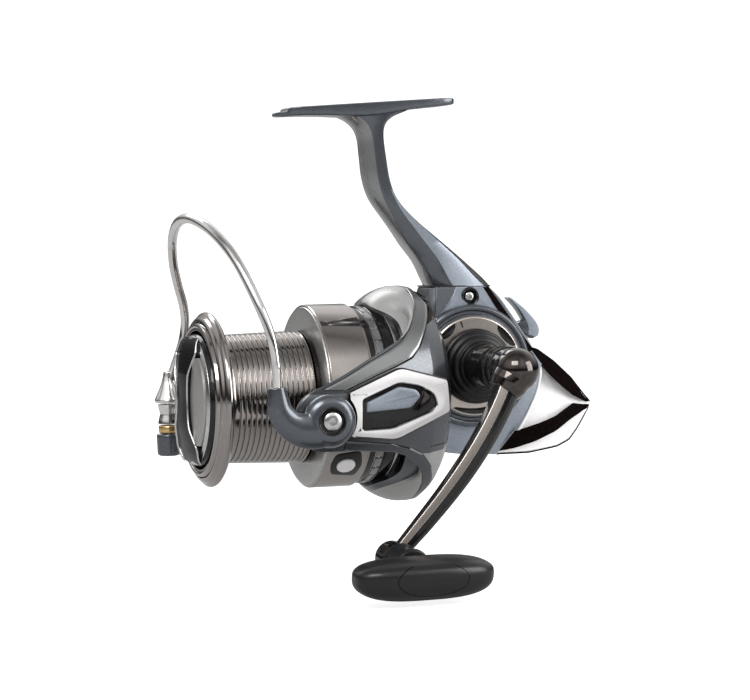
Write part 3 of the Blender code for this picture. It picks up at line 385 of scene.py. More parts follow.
def loft(name, rings, closed=False):
    """A mesh from rings of equal count; closed joins the last ring to the first."""
    count = len(rings[0])
    verts = [tuple(v) for ring in rings for v in ring]
    faces = []
    last = len(rings) if closed else len(rings) - 1
    for i in range(last):
        a, b = i * count, ((i + 1) % len(rings)) * count
        for j in range(count):
            k = (j + 1) % count
            faces.append((a + j, a + k, b + k, b + j))
    if not closed:
        faces.append(tuple(reversed(range(count))))
        faces.append(tuple((len(rings) - 1) * count + j for j in range(count)))
    mesh = bpy.data.meshes.new(name)
    mesh.from_pydata(verts, [], faces)
    shape = bmesh.new()
    shape.from_mesh(mesh)
    bmesh.ops.remove_doubles(shape, verts=shape.verts, dist=1e-7)
    bmesh.ops.recalc_face_normals(shape, faces=shape.faces)
    shape.to_mesh(mesh)
    shape.free()
    return mesh


AXES = {"X": Vector((1, 0, 0)), "Y": Vector((0, 1, 0)), "Z": Vector((0, 0, 1))}


def lathe(name, profile, mat, body=None, node=None, axis="X", centre=(0.0, 0.0, 0.0), steps=96,
          soft=0.25, wobble=None):
    """Turns a profile of (along, radius) in millimetres; corners are rounded by soft."""
    direction = AXES[axis] if isinstance(axis, str) else axis
    side = direction.orthogonal().normalized()
    if abs(direction.z) < 0.5:
        side = direction.cross(Vector((0, 0, 1))).normalized()
    up = direction.cross(side).normalized()
    solid = profile[0][1] == 0.0
    points = soften(profile, soft, 3, closed=not solid)
    points = [p for p in points if p[1] > 1e-6]
    middle = at(*centre)
    rings = []
    for along, radius in points:
        ring = []
        for i in range(steps):
            angle = TAU * i / steps
            reach = radius * (wobble(angle, along, radius) if wobble else 1.0)
            outward = side * math.cos(angle) + up * math.sin(angle)
            ring.append(middle + (direction * along + outward * reach) * MM)
        rings.append(ring)
    return add(name, loft(name, rings, closed=not solid), mat, body, node)


def inset(outline, distance):
    """The outline moved inwards by a distance, corner by corner."""
    points = [Vector(p) for p in outline]
    area = sum(a.x * b.y - b.x * a.y for a, b in zip(points, points[1:] + points[:1]))
    sign = 1.0 if area > 0 else -1.0
    out = []
    for i, here in enumerate(points):
        before = (here - points[i - 1]).normalized()
        after = (points[(i + 1) % len(points)] - here).normalized()
        normal = Vector((-(before.y + after.y), before.x + after.x))
        if normal.length < 1e-6:
            normal = Vector((-before.y, before.x))
        normal.normalize()
        out.append(here + normal * distance * sign)
    return out


RIM_STEPS = ((1.0, 0.0), (0.55, 0.13), (0.2, 0.42), (0.0, 1.0))


def plate(name, outline, low, high, mat, body=None, node=None, bevel=0.4, place="XZ", shift=None,
          turn=None, centre=None):
    """Extrudes an outline between two depths with rounded rims; shift moves every point afterwards."""
    levels = [(bevel * a, low + bevel * b) for a, b in RIM_STEPS]
    levels += [(bevel * a, high - bevel * b) for a, b in reversed(RIM_STEPS)]
    rings = []
    for distance, depth in levels:
        ring = []
        for p in inset(outline, distance):
            spot = Vector((p[0], depth, p[1])) if place == "XZ" else Vector((p[0], p[1], depth))
            if shift:
                spot = shift(spot)
            if turn is not None:
                ring.append(at(*centre) + turn @ spot * MM)
            else:
                ring.append(at(*spot))
        rings.append(ring)
    return add(name, loft(name, rings), mat, body, node)


def sweep(name, path, section, mat, body=None, node=None, sharp=60.0, first=(0, 1, 0)):
    """Carries a section along a path of millimetre points; section(i, count) gives (across, up) pairs."""
    points = [Vector(p) for p in path]
    normal = Vector(first)
    rings = []
    for i, here in enumerate(points):
        ahead = points[min(i + 1, len(points) - 1)] - points[max(i - 1, 0)]
        ahead.normalize()
        normal = (normal - ahead * normal.dot(ahead)).normalized()
        other = ahead.cross(normal)
        rings.append([at(*(here + normal * a + other * b)) for a, b in section(i, len(points))])
    return add(name, loft(name, rings), mat, body, node, sharp)


def ellipse(half_width, half_height, count=SECTION_POINTS):
    """Points round an ellipse about the origin."""
    angles = [TAU * k / count for k in range(count)]
    return [(half_width * math.cos(a), half_height * math.sin(a)) for a in angles]


def round_section(radius):
    """A thin round section for a sweep, the same all along."""
    return lambda i, total: ellipse(radius, radius, 10)


def arc(x, up, radius, start, end, count):
    """Points along an arc between two angles in degrees."""
    angles = [math.radians(start + (end - start) * i / (count - 1)) for i in range(count)]
    return [(x + radius * math.cos(a), up + radius * math.sin(a)) for a in angles]


def between(start, end, share):
    """The value at that share of the way from start to end."""
    return start + (end - start) * share


def ramp(value, stops):
    """Straight-line interpolation in a list of (position, value)."""
    if value <= stops[0][0]:
        return stops[0][1]
    for (a, va), (b, vb) in zip(stops, stops[1:]):
        if value <= b:
            return va + (vb - va) * (value - a) / (b - a)
    return stops[-1][1]


def combine(target, tool, operation):
    """A boolean, applied at once; the tool goes away."""
    modifier = target.modifiers.new(operation, "BOOLEAN")
    modifier.operation = operation
    modifier.solver = "EXACT"
    modifier.use_self = True
    modifier.object = tool
    graph = bpy.context.evaluated_depsgraph_get()
    mesh = bpy.data.meshes.new_from_object(target.evaluated_get(graph))
    target.modifiers.clear()
    old = target.data
    target.data = mesh
    bpy.data.meshes.remove(old)
    bpy.data.objects.remove(tool, do_unlink=True)
    mesh.shade_smooth()
    mesh.set_sharp_from_angle(angle=math.radians(SHARP))


def blend_solid(name, sources, voxel, smooth, mat, body, node):
    """Melts overlapping solids into one smooth skin."""
    base = sources[0]
    for other in sources[1:]:
        combine(base, other, "UNION")
    remesh = base.modifiers.new("skin", "REMESH")
    remesh.mode = "VOXEL"
    remesh.voxel_size = voxel * MM
    relax = base.modifiers.new("relax", "SMOOTH")
    relax.iterations = smooth
    relax.factor = 0.5
    graph = bpy.context.evaluated_depsgraph_get()
    mesh = bpy.data.meshes.new_from_object(base.evaluated_get(graph))
    bpy.data.objects.remove(base, do_unlink=True)
    mesh.materials.clear()
    mesh.materials.append(mat)
    return add(name, mesh, mat, body, node, 60.0)


def tail_dark_reflection_band(name, upper, lower, sign, proud=0.22, deep=1.2, across=8):
    """A thin near-black band of painted dark reflection between two curves of (x, up) points, laid on one side of
    the tail.
    """
    rings = []
    for a, b in zip(upper, lower):
        outer = []
        inner = []
        for k in range(across + 1):
            t = k / across
            x = between(a[0], b[0], t)
            up = between(a[1], b[1], t)
            rim = min(1.0, 5.0 * t, 5.0 * (1.0 - t))
            half = tail_surface(x, up)
            outer.append(at(x, sign * (half + proud * (0.35 + 0.65 * rim)), up))
            inner.append(at(x, sign * (half - deep), up))
        rings.append(outer + list(reversed(inner)))
    return add(name, loft(name, rings), DARK_REFLECTION_BLACK, "body", sharp=40.0)


def rotor_inlay(name, upper, lower, radius, mat, proud, deep, across, sign, edge=None):
    """An inlay between two (x, up) lines laid round the rotor, with bevelled rims in a second material where one
    is given; on the ribbons that is black, a painted shadow line.
    """
    rings = []
    for a, b in zip(upper, lower):
        angles = [math.asin(max(-1.0, min(1.0, p[1] / radius))) for p in (a, b)]
        outer = []
        inner = []
        for k in range(across + 1):
            t = k / across
            x = between(a[0], b[0], t)
            angle = between(*angles, t)
            rim = min(1.0, 6.0 * t, 6.0 * (1.0 - t))
            for line, reach in ((outer, radius + proud * rim ** 0.5), (inner, radius - deep)):
                line.append(at(x, sign * reach * math.cos(angle), reach * math.sin(angle)))
        rings.append(outer + list(reversed(inner)))
    piece = add(name, loft(name, rings), mat, "rotor", sharp=30.0)
    # The edge material on the rims is a painted shadow line, the gap round a raised band.
    if edge:
        piece.data.materials.append(edge)
        count = 2 * (across + 1)
        for face in piece.data.polygons:
            columns = {v % count for v in face.vertices}
            if len(face.vertices) > 4 or not columns <= set(range(1, across)):
                face.material_index = 1
    return piece


def resample(points, count):
    """Evenly spaced points along an open line of (x, up) guides."""
    guides = [Vector(p) for p in points]
    lengths = [0.0]
    for a, b in zip(guides, guides[1:]):
        lengths.append(lengths[-1] + (b - a).length)
    out = []
    for i in range(count):
        want = lengths[-1] * i / (count - 1)
        for k in range(1, len(guides)):
            if want <= lengths[k] + 1e-9:
                t = (want - lengths[k - 1]) / max(1e-9, lengths[k] - lengths[k - 1])
                out.append(guides[k - 1].lerp(guides[k], t))
                break
    return out


# ---------------------------------------------------------------------------------------------
# Body: foot, stem, housing, side cover, tail and lever
# ---------------------------------------------------------------------------------------------
HANDLE_X, HANDLE_UP = -40.2, 10.6
SHAFT = (HANDLE_X, 0.0, HANDLE_UP)
TILT = math.radians(3.3)
SEAT_UP = 114.6

# x, half width, drop of the top, depth of the underside
FOOT_STATIONS = [
    (35.4, 2.2, 2.2, 2.9), (34.9, 3.5, 1.7, 3.2), (33.6, 4.6, 1.45, 3.4), (31.2, 5.2, 1.3, 3.4),
    (30.6, 6.2, 0.35, 3.4), (29.6, 6.9, 0.0, 3.4), (24.0, 7.5, 0.0, 3.5), (16.0, 7.9, 0.0, 4.0),
    (8.0, 8.1, 0.0, 4.8), (0.0, 8.2, 0.0, 5.2), (-8.0, 8.1, 0.0, 4.9), (-15.0, 7.9, 0.0, 4.1),
    (-24.0, 7.5, 0.0, 3.4), (-33.0, 7.0, 0.0, 3.1), (-36.6, 6.2, 0.1, 2.9), (-38.0, 4.8, 0.4, 2.6),
    (-38.45, 3.0, 0.9, 2.1),
]
# front x and up, rear x and up, half width, and where the facet corners fall
STEM_STATIONS = [
    ((-27.4, 42.2), (-52.6, 42.0), 12.2, 0.03, 0.62, 0.27, 0.775),
    ((-25.4, 46.0), (-48.6, 46.2), 11.2, 0.03, 0.62, 0.29, 0.755),
    ((-21.9, 52.4), (-40.4, 53.3), 9.7, 0.04, 0.64, 0.38, 0.80),
    ((-15.6, 60.6), (-28.6, 62.8), 8.5, 0.06, 0.70, 0.52, 0.85),
    ((-9.0, 69.5), (-18.6, 70.7), 7.6, 0.30, 0.82, 0.72, 0.93),
    ((-3.6, 77.2), (-12.9, 77.2), 7.0, 0.52, 0.93, 0.90, 0.97),
    ((-1.0, 85.1), (-10.2, 84.0), 6.8, 0.60, 0.96, 0.92, 0.98),
    ((-0.1, 93.1), (-8.8, 92.4), 6.8, 0.62, 0.96, 0.92, 0.98),
    ((0.7, 100.6), (-7.8, 101.4), 6.8, 0.60, 0.96, 0.92, 0.98),
    ((2.6, 104.9), (-8.6, 106.0), 6.9, 0.50, 0.96, 0.92, 0.98),
    ((6.2, 107.9), (-11.6, 109.0), 7.1, 0.38, 0.96, 0.90, 0.98),
    ((12.0, 110.3), (-18.0, 111.6), 7.3, 0.30, 0.96, 0.86, 0.98),
]


def build_foot():
    """The foot plate, leaning forward by the tilt; it is joined to the stem."""
    turn = Matrix.Rotation(TILT, 3, "Y")
    rings = []
    for x, half, drop, depth in FOOT_STATIONS:
        section = soften([(-half, -drop), (half, -drop), (half * 0.96, -depth), (-half * 0.96, -depth)],
                         [0.5, 0.5, 1.1, 1.1], 4)
        rings.append([at(0.0, 0.0, SEAT_UP) + turn @ Vector((x, p[0], p[1])) * MM for p in section])
    return add("foot_blank", loft("foot", rings), PAINT)


def stem_ring(row):
    """One section of the stem, from its front round the near side, the rear and the far side."""
    front, rear, half, corner_t, corner_s, facet_t, band_t = row
    rear_s = ramp(band_t, [(0.78, 0.15), (0.95, 0.36)])
    side = [
        (0.0, 0.30), (corner_t * 0.3, corner_s * 0.70), (corner_t * 0.8, corner_s * 0.94),
        (corner_t + 0.02, corner_s + 0.3 * (0.97 - corner_s) * 0.2), (facet_t - 0.012, 0.962),
        (facet_t + 0.012, 0.975), (band_t - 0.01, 1.0), (band_t + 0.01, 0.985), (0.985, 2.0 * rear_s),
        (1.0, rear_s),
    ]
    points = [(0.0, 0.0), *side, (1.0, 0.0), *[(t, -s) for t, s in reversed(side)]]
    ring = []
    for t, s in points:
        ring.append(at(between(front[0], rear[0], t), half * s, between(front[1], rear[1], t)))
    return ring


# Painted light and reflection on each face of a stem section: which faces, down to which ring, and the material's
# place; lighter copies of the paint on the facets that catch the light, and near-black on the rear faces for their
# dark reflection.
STEM_PAINTED_LIGHT = (((5, 6), 33, 1), ((7, 8, 9, 10, 11), 27, 2), ((0, 1, 2), 1000, 3))


def build_stem():
    """The stem and foot in one piece; lighter facets and near-black rear faces run down both sides as painted
    light and painted dark reflection.
    """
    flat = [Vector((*front, *rear, half, a, b, c, d)) for front, rear, half, a, b, c, d in STEM_STATIONS]
    rows = curve_through(flat, 6)
    rings = [stem_ring(((r[0], r[1]), (r[2], r[3]), *r[4:])) for r in rows]
    stem = add("body_frame_stem", loft("stem", rings), PAINT)
    mesh = stem.data
    # Lighter copies of the paint and a near-black, for the painted light and dark reflection on the stem's facets.
    for mat in (PAINT_LIGHT, BROWN_BLACK, ROTOR_PAINT_LIT):
        mesh.materials.append(mat)
    count = len(rings[0])
    for face in mesh.polygons:
        if len(face.vertices) != 4:
            continue
        columns = sorted(v % count for v in face.vertices)
        station = min(v // count for v in face.vertices)
        lead = columns[0] if columns[-1] - columns[0] < count // 2 else columns[-1]
        side = lead if lead <= 11 else 21 - lead
        for places, end, index in STEM_PAINTED_LIGHT:
            if side in places and station < end:
                face.material_index = index
    combine(stem, build_foot(), "UNION")
    stem.name = "foot_and_stem"
    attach(stem, "body")
    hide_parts("body_frame")


HOUSING_OUTLINE = [
    (-19.0, -21.5), (-18.6, 24.3), (-25.8, 26.6), (-26.2, 36.0), (-27.6, 41.9), (-52.5, 41.8), (-57.4, 36.8),
    (-61.4, 31.2), (-68.6, 20.6), (-71.6, 15.6), (-69.0, 7.4), (-67.6, 0.0), (-61.0, -11.9), (-50.6, -25.0),
    (-34.0, -24.4),
]
HOUSING_HALF = 15.0
HALF_WIDTH_STOPS = [(-25.6, 13.0), (-19.0, 15.0), (27.0, 15.0), (41.3, 12.4), (55.0, 9.4)]


COVER_SCREWS = (("cover_screw_top", -40.6, 12.9, 37.9), ("cover_screw_front", -25.0, 14.9, -17.6),
                ("cover_screw_rear", -63.6, 14.0, 12.4))
# start and end angle, inner and outer radius of the dark marks engraved on the side ring
RING_MARKS = ((122.0, 156.0, 15.8, 18.9), (172.0, 186.0, 15.2, 18.6), (232.0, 300.0, 16.6, 18.9),
              (318.0, 352.0, 16.8, 18.9), (36.0, 64.0, 15.9, 18.9))
RING_TICKS = (72.0, 160.0, 205.0)
MARK_LOW, MARK_HIGH = 18.2, 18.52


def squeeze(spot):
    """Narrows a housing plate towards its top and bottom, as the front view does."""
    return Vector((spot.x, spot.y * ramp(spot.z, HALF_WIDTH_STOPS) / HOUSING_HALF, spot.z))


SLOPE_POINT = (-52.6, 2.0, 41.0)
SLOPE_OUT = Vector((-275.0, 125.0, 206.8)).normalized()


def cut_slope(piece, side):
    """Trims the rear edge of one side to the long slope and paints the slope near-black as a dark reflection."""
    point = Vector((SLOPE_POINT[0], SLOPE_POINT[1] * side, SLOPE_POINT[2]))
    outward = Vector((SLOPE_OUT.x, SLOPE_OUT.y * side, SLOPE_OUT.z))
    first = outward.cross(Vector((0.0, 1.0, 0.0))).normalized()
    turn = Matrix((first, outward.cross(first), outward)).transposed()
    square = [(-60.0, -60.0), (60.0, -60.0), (60.0, 60.0), (-60.0, 60.0)]
    slab = plate("slope_slab", square, 0.0, 30.0, DARK_REFLECTION_BLACK, bevel=0.0, place="XY", turn=turn,
                 centre=tuple(point))
    combine(piece, slab, "DIFFERENCE")
    origin = at(*point)
    # The cut slope's faces take the near-black of a painted dark reflection.
    mark = len(piece.data.materials)
    piece.data.materials.append(DARK_REFLECTION_BLACK)
    for face in piece.data.polygons:
        if face.normal.dot(outward) > 0.99 and abs((face.center - origin).dot(outward)) < 0.15 * MM:
            face.material_index = mark


def build_housing():
    """Near cover and far half, with their slopes painted near-black as dark reflections, front cheek, seam and
    screw pits.
    """
    outline = soften(HOUSING_OUTLINE, [1.2, 3.0, 2.0, 2.0, 1.0, 1.0, 2.0, 3.0, 6.0, 3.0, 4.0, 4.0, 6.0, 1.2,
                                       6.0], 4)
    cover = plate("side_cover_plate", outline, 3.3, HOUSING_HALF, PAINT_LIGHT, "body",
                  "side_cover", 0.45, shift=squeeze)
    far = plate("housing_far_half", outline, -HOUSING_HALF, 3.0, PAINT, "body", "body_frame",
                0.45, shift=squeeze)
    for piece, side in ((cover, 1.0), (far, -1.0)):
        cut_slope(piece, side)
    # A near-black band along the near slope: a painted dark reflection.
    band = [(-48.7, 41.5), (-55.9, 30.5), (-61.9, 22.0), (-66.3, 16.0), (-64.4, 15.4), (-59.9, 21.2),
            (-53.6, 29.6), (-46.2, 41.5)]
    plate("cover_rear_band", band, 14.0, 15.07, DARK_REFLECTION_BLACK, "body", bevel=0.05, shift=squeeze)
    cheek = soften([(-25.2, 26.4), (-26.6, 41.8), (-34.8, 41.8), (-34.3, 39.4), (-31.7, 35.4), (-27.0, 31.6)],
                   [0.3, 0.3, 0.3, 1.5, 2.0, 1.5], 4)
    rings = [[at(p[0], y * ramp(p[1], HALF_WIDTH_STOPS) / HOUSING_HALF, p[1]) for p in inset(cheek, d)]
             for d, y in ((0.0, 14.0), (0.0, 15.12), (0.25, 15.28), (0.7, 15.28))]
    add("cover_front_cheek", loft("cheek", rings), PAINT, "body")
    seam = soften([(-27.2, 41.75), (-49.4, 41.65), (-49.4, 42.25), (-27.2, 42.35)], 0.1, 2)
    plate("stem_seam", seam, -12.0, 12.0, BLACK_GLOSS, "body", bevel=0.1)
    for name, x, y, up in COVER_SCREWS:
        pit = lathe(name + "_tool", [(y - 2.6, 0.0), (y - 2.6, 3.3), (y + 6.0, 3.3), (y + 6.0, 0.0)],
                    BLACK_GLOSS, axis="Y", centre=(x, 0, up), steps=48, soft=0.0)
        combine(cover, pit, "DIFFERENCE")


def build_side_ring():
    """The stepped boss round the crank's shaft and its engraved bronze ring."""
    lathe("cover_boss_rings", [
        (17.0, 9.0), (17.0, 20.2), (15.7, 20.6), (15.7, 21.6), (16.9, 22.1), (17.1, 23.0), (16.4, 24.0),
        (14.0, 24.3), (14.0, 9.0)], PAINT, "body", "side_cover", "Y", SHAFT, 160, 0.3)
    lathe("side_ring_plate", [(18.3, 8.7), (18.45, 9.6), (18.3, 19.0), (17.9, 19.6), (17.2, 19.7),
                              (17.2, 8.7)], BRONZE, "body", "side_ring", "Y", SHAFT, 160, 0.2)
    marks = [(f"ring_mark_{i + 1}", crescent(*mark)) for i, mark in enumerate(RING_MARKS)]
    for i, angle in enumerate(RING_TICKS):
        a = math.radians(angle)
        line = [(HANDLE_X + r * math.cos(a + d), HANDLE_UP + r * math.sin(a + d))
                for r, d in ((16.0, -0.012), (18.6, -0.018), (18.6, 0.018), (16.0, 0.012))]
        marks.append((f"ring_tick_{i + 1}", line))
    for name, outline in marks:
        plate(name, outline, MARK_LOW, MARK_HIGH, BLACK_GLOSS, "body", bevel=0.05)


def build_bosses():
    """The shaft's cap and boss on the far side, and the neck behind the rotor."""
    lathe("shaft_cap_dome", [(-24.0, 0.0), (-24.0, 4.0), (-23.6, 8.0), (-22.6, 10.4), (-20.6, 11.6),
                             (-19.3, 11.6), (-19.3, 0.0)], DARK_CHROME, "body", "shaft_cap",
          "Y", SHAFT, 96, 0.5)
    lathe("far_boss", [(-19.0, 8.4), (-19.0, 12.6), (-18.2, 13.6), (-14.5, 14.2), (-14.5, 8.4)], PAINT,
          "body", "body_frame", "Y", SHAFT, 128, 0.4)
    lathe("neck_sleeve", [(-8.9, 13.4), (-8.9, 14.6), (-9.6, 15.0), (-19.6, 15.0), (-19.6, 13.4)], PAINT,
          "body", "body_frame", steps=96, soft=0.3)


def build_cover_screws():
    """Three socket screws, each in a rimmed cup; the cup and the pit under the head are black as painted shade of
    the recess.
    """
    for name, x, y, up in COVER_SCREWS:
        lathe(name + "_cup", [(y + 0.25, 2.9), (y + 0.45, 3.3), (y + 0.3, 3.7), (y - 0.8, 3.8),
                              (y - 2.4, 3.3), (y - 2.4, 2.7), (y - 0.4, 2.75)], BLACK_GLOSS, "body",
              None, "Y", (x, 0, up), 64, 0.15)
        lathe(name + "_pit", [(y - 1.6, 0.0), (y - 1.6, 2.8), (y - 2.4, 2.8), (y - 2.4, 0.0)], BLACK_GLOSS,
              "body", None, "Y", (x, 0, up), 48, 0.05)
        hex_screw(name + "_head", (x, y - 1.7, up), 2.1, 1.35, 1.1, "body", name)


def crescent(start, end, inner, outer, count=26):
    """A curved sliver around the crank's axis, pointed at both ends."""
    rim = []
    back = []
    for i in range(count):
        share = i / (count - 1)
        angle = math.radians(start + (end - start) * share)
        swell = math.sin(math.pi * share) ** 0.5
        depth = outer - (outer - inner) * (0.12 + 0.88 * swell)
        rim.append((HANDLE_X + outer * math.cos(angle), HANDLE_UP + outer * math.sin(angle)))
        back.append((HANDLE_X + depth * math.cos(angle), HANDLE_UP + depth * math.sin(angle)))
    return rim + list(reversed(back))


def hex_screw(name, spot, radius, height, key, body, node, sign=1.0):
    """A button head with a hexagon socket, facing sideways."""
    x, y, up = spot
    count = 72
    half_wedge = math.pi / 6
    # share of the radius, share of the height, and the share of the socket's hexagon (0 for a round row)
    rows = [(1.0, 0.0, 0.0), (1.0, 0.35, 0.0), (0.93, 0.66, 0.0), (0.74, 0.9, 0.0), (0.55, 0.98, 0.0),
            (0.0, 1.0, 1.0), (0.0, 0.35, 1.0), (0.0, 0.30, 0.2)]
    rings = []
    for share, lift, socket in rows:
        ring = []
        for i in range(count):
            angle = TAU * i / count
            if socket:
                wedge = (angle + half_wedge) % (2.0 * half_wedge) - half_wedge
                reach = key * math.cos(half_wedge) / math.cos(wedge)
                reach *= socket
            else:
                reach = radius * share
            ring.append(at(x + reach * math.cos(angle), y + sign * height * lift,
                           up + reach * math.sin(angle)))
        rings.append(ring)
    return add(name, loft(name, rings), STEEL, body, node)


TAIL_TOP = [(-72.2, 15.6), (-79.7, 10.6), (-87.3, 3.8), (-95.4, -6.0)]
TAIL_LOW = [(-50.9, -25.4), (-65.8, -25.5), (-78.9, -23.6), (-84.7, -21.3), (-88.2, -17.3), (-95.4, -7.4)]
TAIL_OUTLINE = [(-72.2, 15.6), (-79.7, 10.6), (-87.3, 3.8), (-95.6, -6.0), (-95.2, -8.4), (-88.2, -17.4),
                (-84.7, -21.4), (-78.9, -23.7), (-65.8, -25.6), (-50.9, -25.5), (-61.8, -12.2),
                (-68.2, -0.2), (-69.9, 7.6)]
TAIL_HALF = [(-96.5, 2.6), (-90.0, 6.4), (-76.0, 11.7), (-60.0, 14.3), (-44.0, 14.5)]


# share of the half width, shift along x and shift up
SPINE_SECTION = [
    (1.0, 1.0, -1.0), (1.02, 0.0, -0.1), (0.8, -0.22, 0.2), (0.4, -0.3, 0.28), (-0.4, -0.3, 0.28),
    (-0.8, -0.22, 0.2), (-1.02, 0.0, -0.1), (-1.0, 1.0, -1.0), (0.0, 1.2, -1.2),
]


def tail_surface(x, up):
    """Half width of the tail: its plan, rounded towards the top and bottom edges."""
    top = ramp(x, sorted(TAIL_TOP + [(-60.0, 24.0)]))
    low = ramp(x, sorted(TAIL_LOW))
    share = max(0.0, min(1.0, (up - low) / max(0.1, top - low)))
    above = max(0.0, (share - 0.74) / 0.26) ** 1.2
    below = max(0.0, (0.22 - share) / 0.22) ** 1.5
    swell = 1.0 - 0.62 * above - 0.30 * below
    return ramp(x, TAIL_HALF) * swell


def build_tail():
    """The tail shell, flat white as a painted reflection, with its spine, side bands and lower edge painted
    near-black as dark reflections.
    """
    outline = soften(TAIL_OUTLINE, [0.8, 5.0, 5.0, 1.0, 1.0, 3.0, 3.0, 5.0, 5.0, 0.6, 5.0, 5.0, 4.0], 4)
    rims = ((0.0, 0.0), (0.35, 0.0), (0.7, 0.0), (0.93, 0.12), (0.985, 0.5), (1.0, 1.15))
    rows = [(-share, shrink) for share, shrink in reversed(rims[1:])] + list(rims)
    rings = []
    for share, shrink in rows:
        rings.append([at(p[0], share * tail_surface(p[0], p[1]), p[1]) for p in inset(outline, shrink)])
    add("tail_shell", loft("tail_shell", rings), TAIL_WHITE_REFLECTION, "body", "rear_cover")
    top_edge = resample([(-71.4, 15.8), (-79.6, 10.5), (-87.2, 3.7), (-95.0, -5.8)], 40)
    top_inner = resample([(-68.9, 15.4), (-71.6, 9.9), (-76.3, 4.6), (-80.9, 0.8), (-86.4, -3.0),
                          (-93.4, -6.0)], 40)
    band_top = resample([(-56.0, -16.5), (-61.8, -15.3), (-69.7, -13.4), (-77.6, -10.8), (-86.4, -6.2),
                         (-91.5, -6.9), (-94.6, -7.0)], 40)
    band_low = resample([(-50.4, -24.2), (-58.6, -23.1), (-68.0, -20.6), (-77.5, -16.6), (-83.9, -12.9),
                         (-91.1, -9.4), (-94.8, -8.2)], 40)
    # Spine and side bands: near-black strips painted as the tail's dark reflections.
    for side, sign in SIDES:
        tail_dark_reflection_band(f"tail_spine_{side}", top_edge, top_inner, sign)
        tail_dark_reflection_band(f"tail_band_{side}", band_top, band_low, sign)
    edge = resample([(-52.0, -25.3), (-65.8, -25.3), (-78.9, -23.4), (-84.6, -21.1), (-88.2, -17.2),
                     (-94.9, -8.6)], 60)
    # The keel along the lower edge is a painted dark reflection too.
    for side, sign in SIDES:
        line = [(x, sign * (tail_surface(x, up + 0.5) - 0.1), up + 0.25) for x, up in edge]
        sweep(f"tail_keel_{side}", line, round_section(0.34), DARK_REFLECTION_BLACK, "body")
    # The spine band over the top edge: a painted dark reflection.
    rings = []
    for x, up in resample([(-70.4, 16.4), (-72.4, 15.8), (-79.8, 10.7), (-87.4, 3.9), (-95.5, -5.9)], 50):
        half = max(1.4, tail_surface(x, up - 1.0) * 0.9)
        rings.append([at(x + dx, half * s, up + du) for s, dx, du in SPINE_SECTION])
    add("spine_band", loft("spine_band", rings), DARK_REFLECTION_BLACK, "body")


LEVER_SECTION = [(1.0, -0.8), (1.0, 0.8), (0.8, 0.97), (0.0, 1.0), (-0.8, 0.97), (-1.0, 0.8), (-1.0, -0.8),
                 (-0.8, -0.97), (0.0, -1.0), (0.8, -0.97)]


def build_lever():
    """The anti-reverse lever: a curved finger on a flat base."""
    path = curve_through([(-61.3, 0.0, 36.9), (-64.4, 0.0, 34.1), (-67.3, 0.0, 31.0), (-70.0, 0.0, 27.2),
                          (-71.3, 0.0, 23.8), (-70.6, 0.0, 21.4)], 8)

    def lever_section(i, total):
        half = ramp(i / (total - 1), [(0.0, 0.35), (0.25, 0.8), (0.5, 1.5), (0.75, 2.4), (0.9, 2.6),
                                      (1.0, 1.9)])
        return [(half * a, 3.2 * b) for a, b in LEVER_SECTION]

    sweep("anti_reverse_hook", path, lever_section, PAINT_LIGHT, "lever", "anti_reverse_lever",
          sharp=SHARP, first=(1, 0, 1))
    base = soften([(-64.6, 26.6), (-68.4, 27.8), (-72.4, 25.6), (-73.6, 22.4), (-70.9, 19.8), (-67.0, 22.6)],
                  [0.8, 1.4, 1.6, 1.6, 1.2, 1.2], 4)
    plate("anti_reverse_base", base, -3.0, 3.0, PAINT, "lever", "anti_reverse_lever", 0.3)


# ---------------------------------------------------------------------------------------------
# Handle
# ---------------------------------------------------------------------------------------------
HEAD = Vector((HANDLE_X, 62.5, HANDLE_UP))
CRANK_END = Vector((10.7, 64.0, -58.0))
ARM_LINE = (CRANK_END - HEAD).normalized()
FOLD = ARM_LINE.cross(Vector((0, 1, 0))).normalized()
KNOB_AXIS = Vector((-0.08, 1.0, -0.115)).normalized()
KNOB_LONG = KNOB_AXIS.cross(Vector((0, 0, 1))).normalized()
KNOB_SHORT = KNOB_LONG.cross(KNOB_AXIS).normalized()


BALL_R = 8.5


def build_handle():
    """Rubber collar, barrel, ball head and fold pin."""
    lathe("collar_steps", [(18.9, 4.6), (18.9, 14.4), (19.8, 14.9), (20.9, 14.6), (21.3, 13.6),
                           (22.6, 13.6), (23.4, 13.0), (23.8, 11.9), (25.4, 11.8), (26.2, 11.2),
                           (26.5, 9.9), (27.8, 9.7), (28.4, 9.3), (28.4, 8.6), (21.4, 8.6), (21.4, 4.6)],
          RUBBER, "crank", "handle_collar", "Y", SHAFT, 128, 0.35)
    lathe("barrel_tube", [(21.5, 0.0), (21.5, 8.9), (33.0, 8.8), (34.0, 8.4), (41.0, 8.1), (46.0, 8.3),
                          (47.0, 8.8), (49.0, 8.9), (49.6, 8.3), (52.0, 8.3), (52.6, 8.8), (54.4, 8.8),
                          (55.0, 8.1), (57.0, 7.8), (60.0, 7.2), (60.0, 0.0)], BLACK_GLOSS, "crank",
          "handle_barrel", "Y", SHAFT, 96, 0.35)
    ball = []
    for i in range(33):
        angle = math.pi * (0.02 + 0.96 * i / 32)
        ball.append((BALL_R * math.cos(angle), BALL_R * math.sin(angle)))
    ball = [(ball[0][0], 0.0), *ball, (ball[-1][0], 0.0)]
    lathe("head_ball", ball, DARK_CHROME, "crank", "handle_barrel", FOLD, tuple(HEAD), 96, 0.0)
    lathe("fold_pin_caps", [(7.3, 0.0), (7.3, 1.9), (6.6, 2.3), (-6.6, 2.3), (-7.3, 1.9), (-7.3, 0.0)],
          DARK_CHROME, "crank", "fold_pin", FOLD, tuple(HEAD), 48, 0.2)


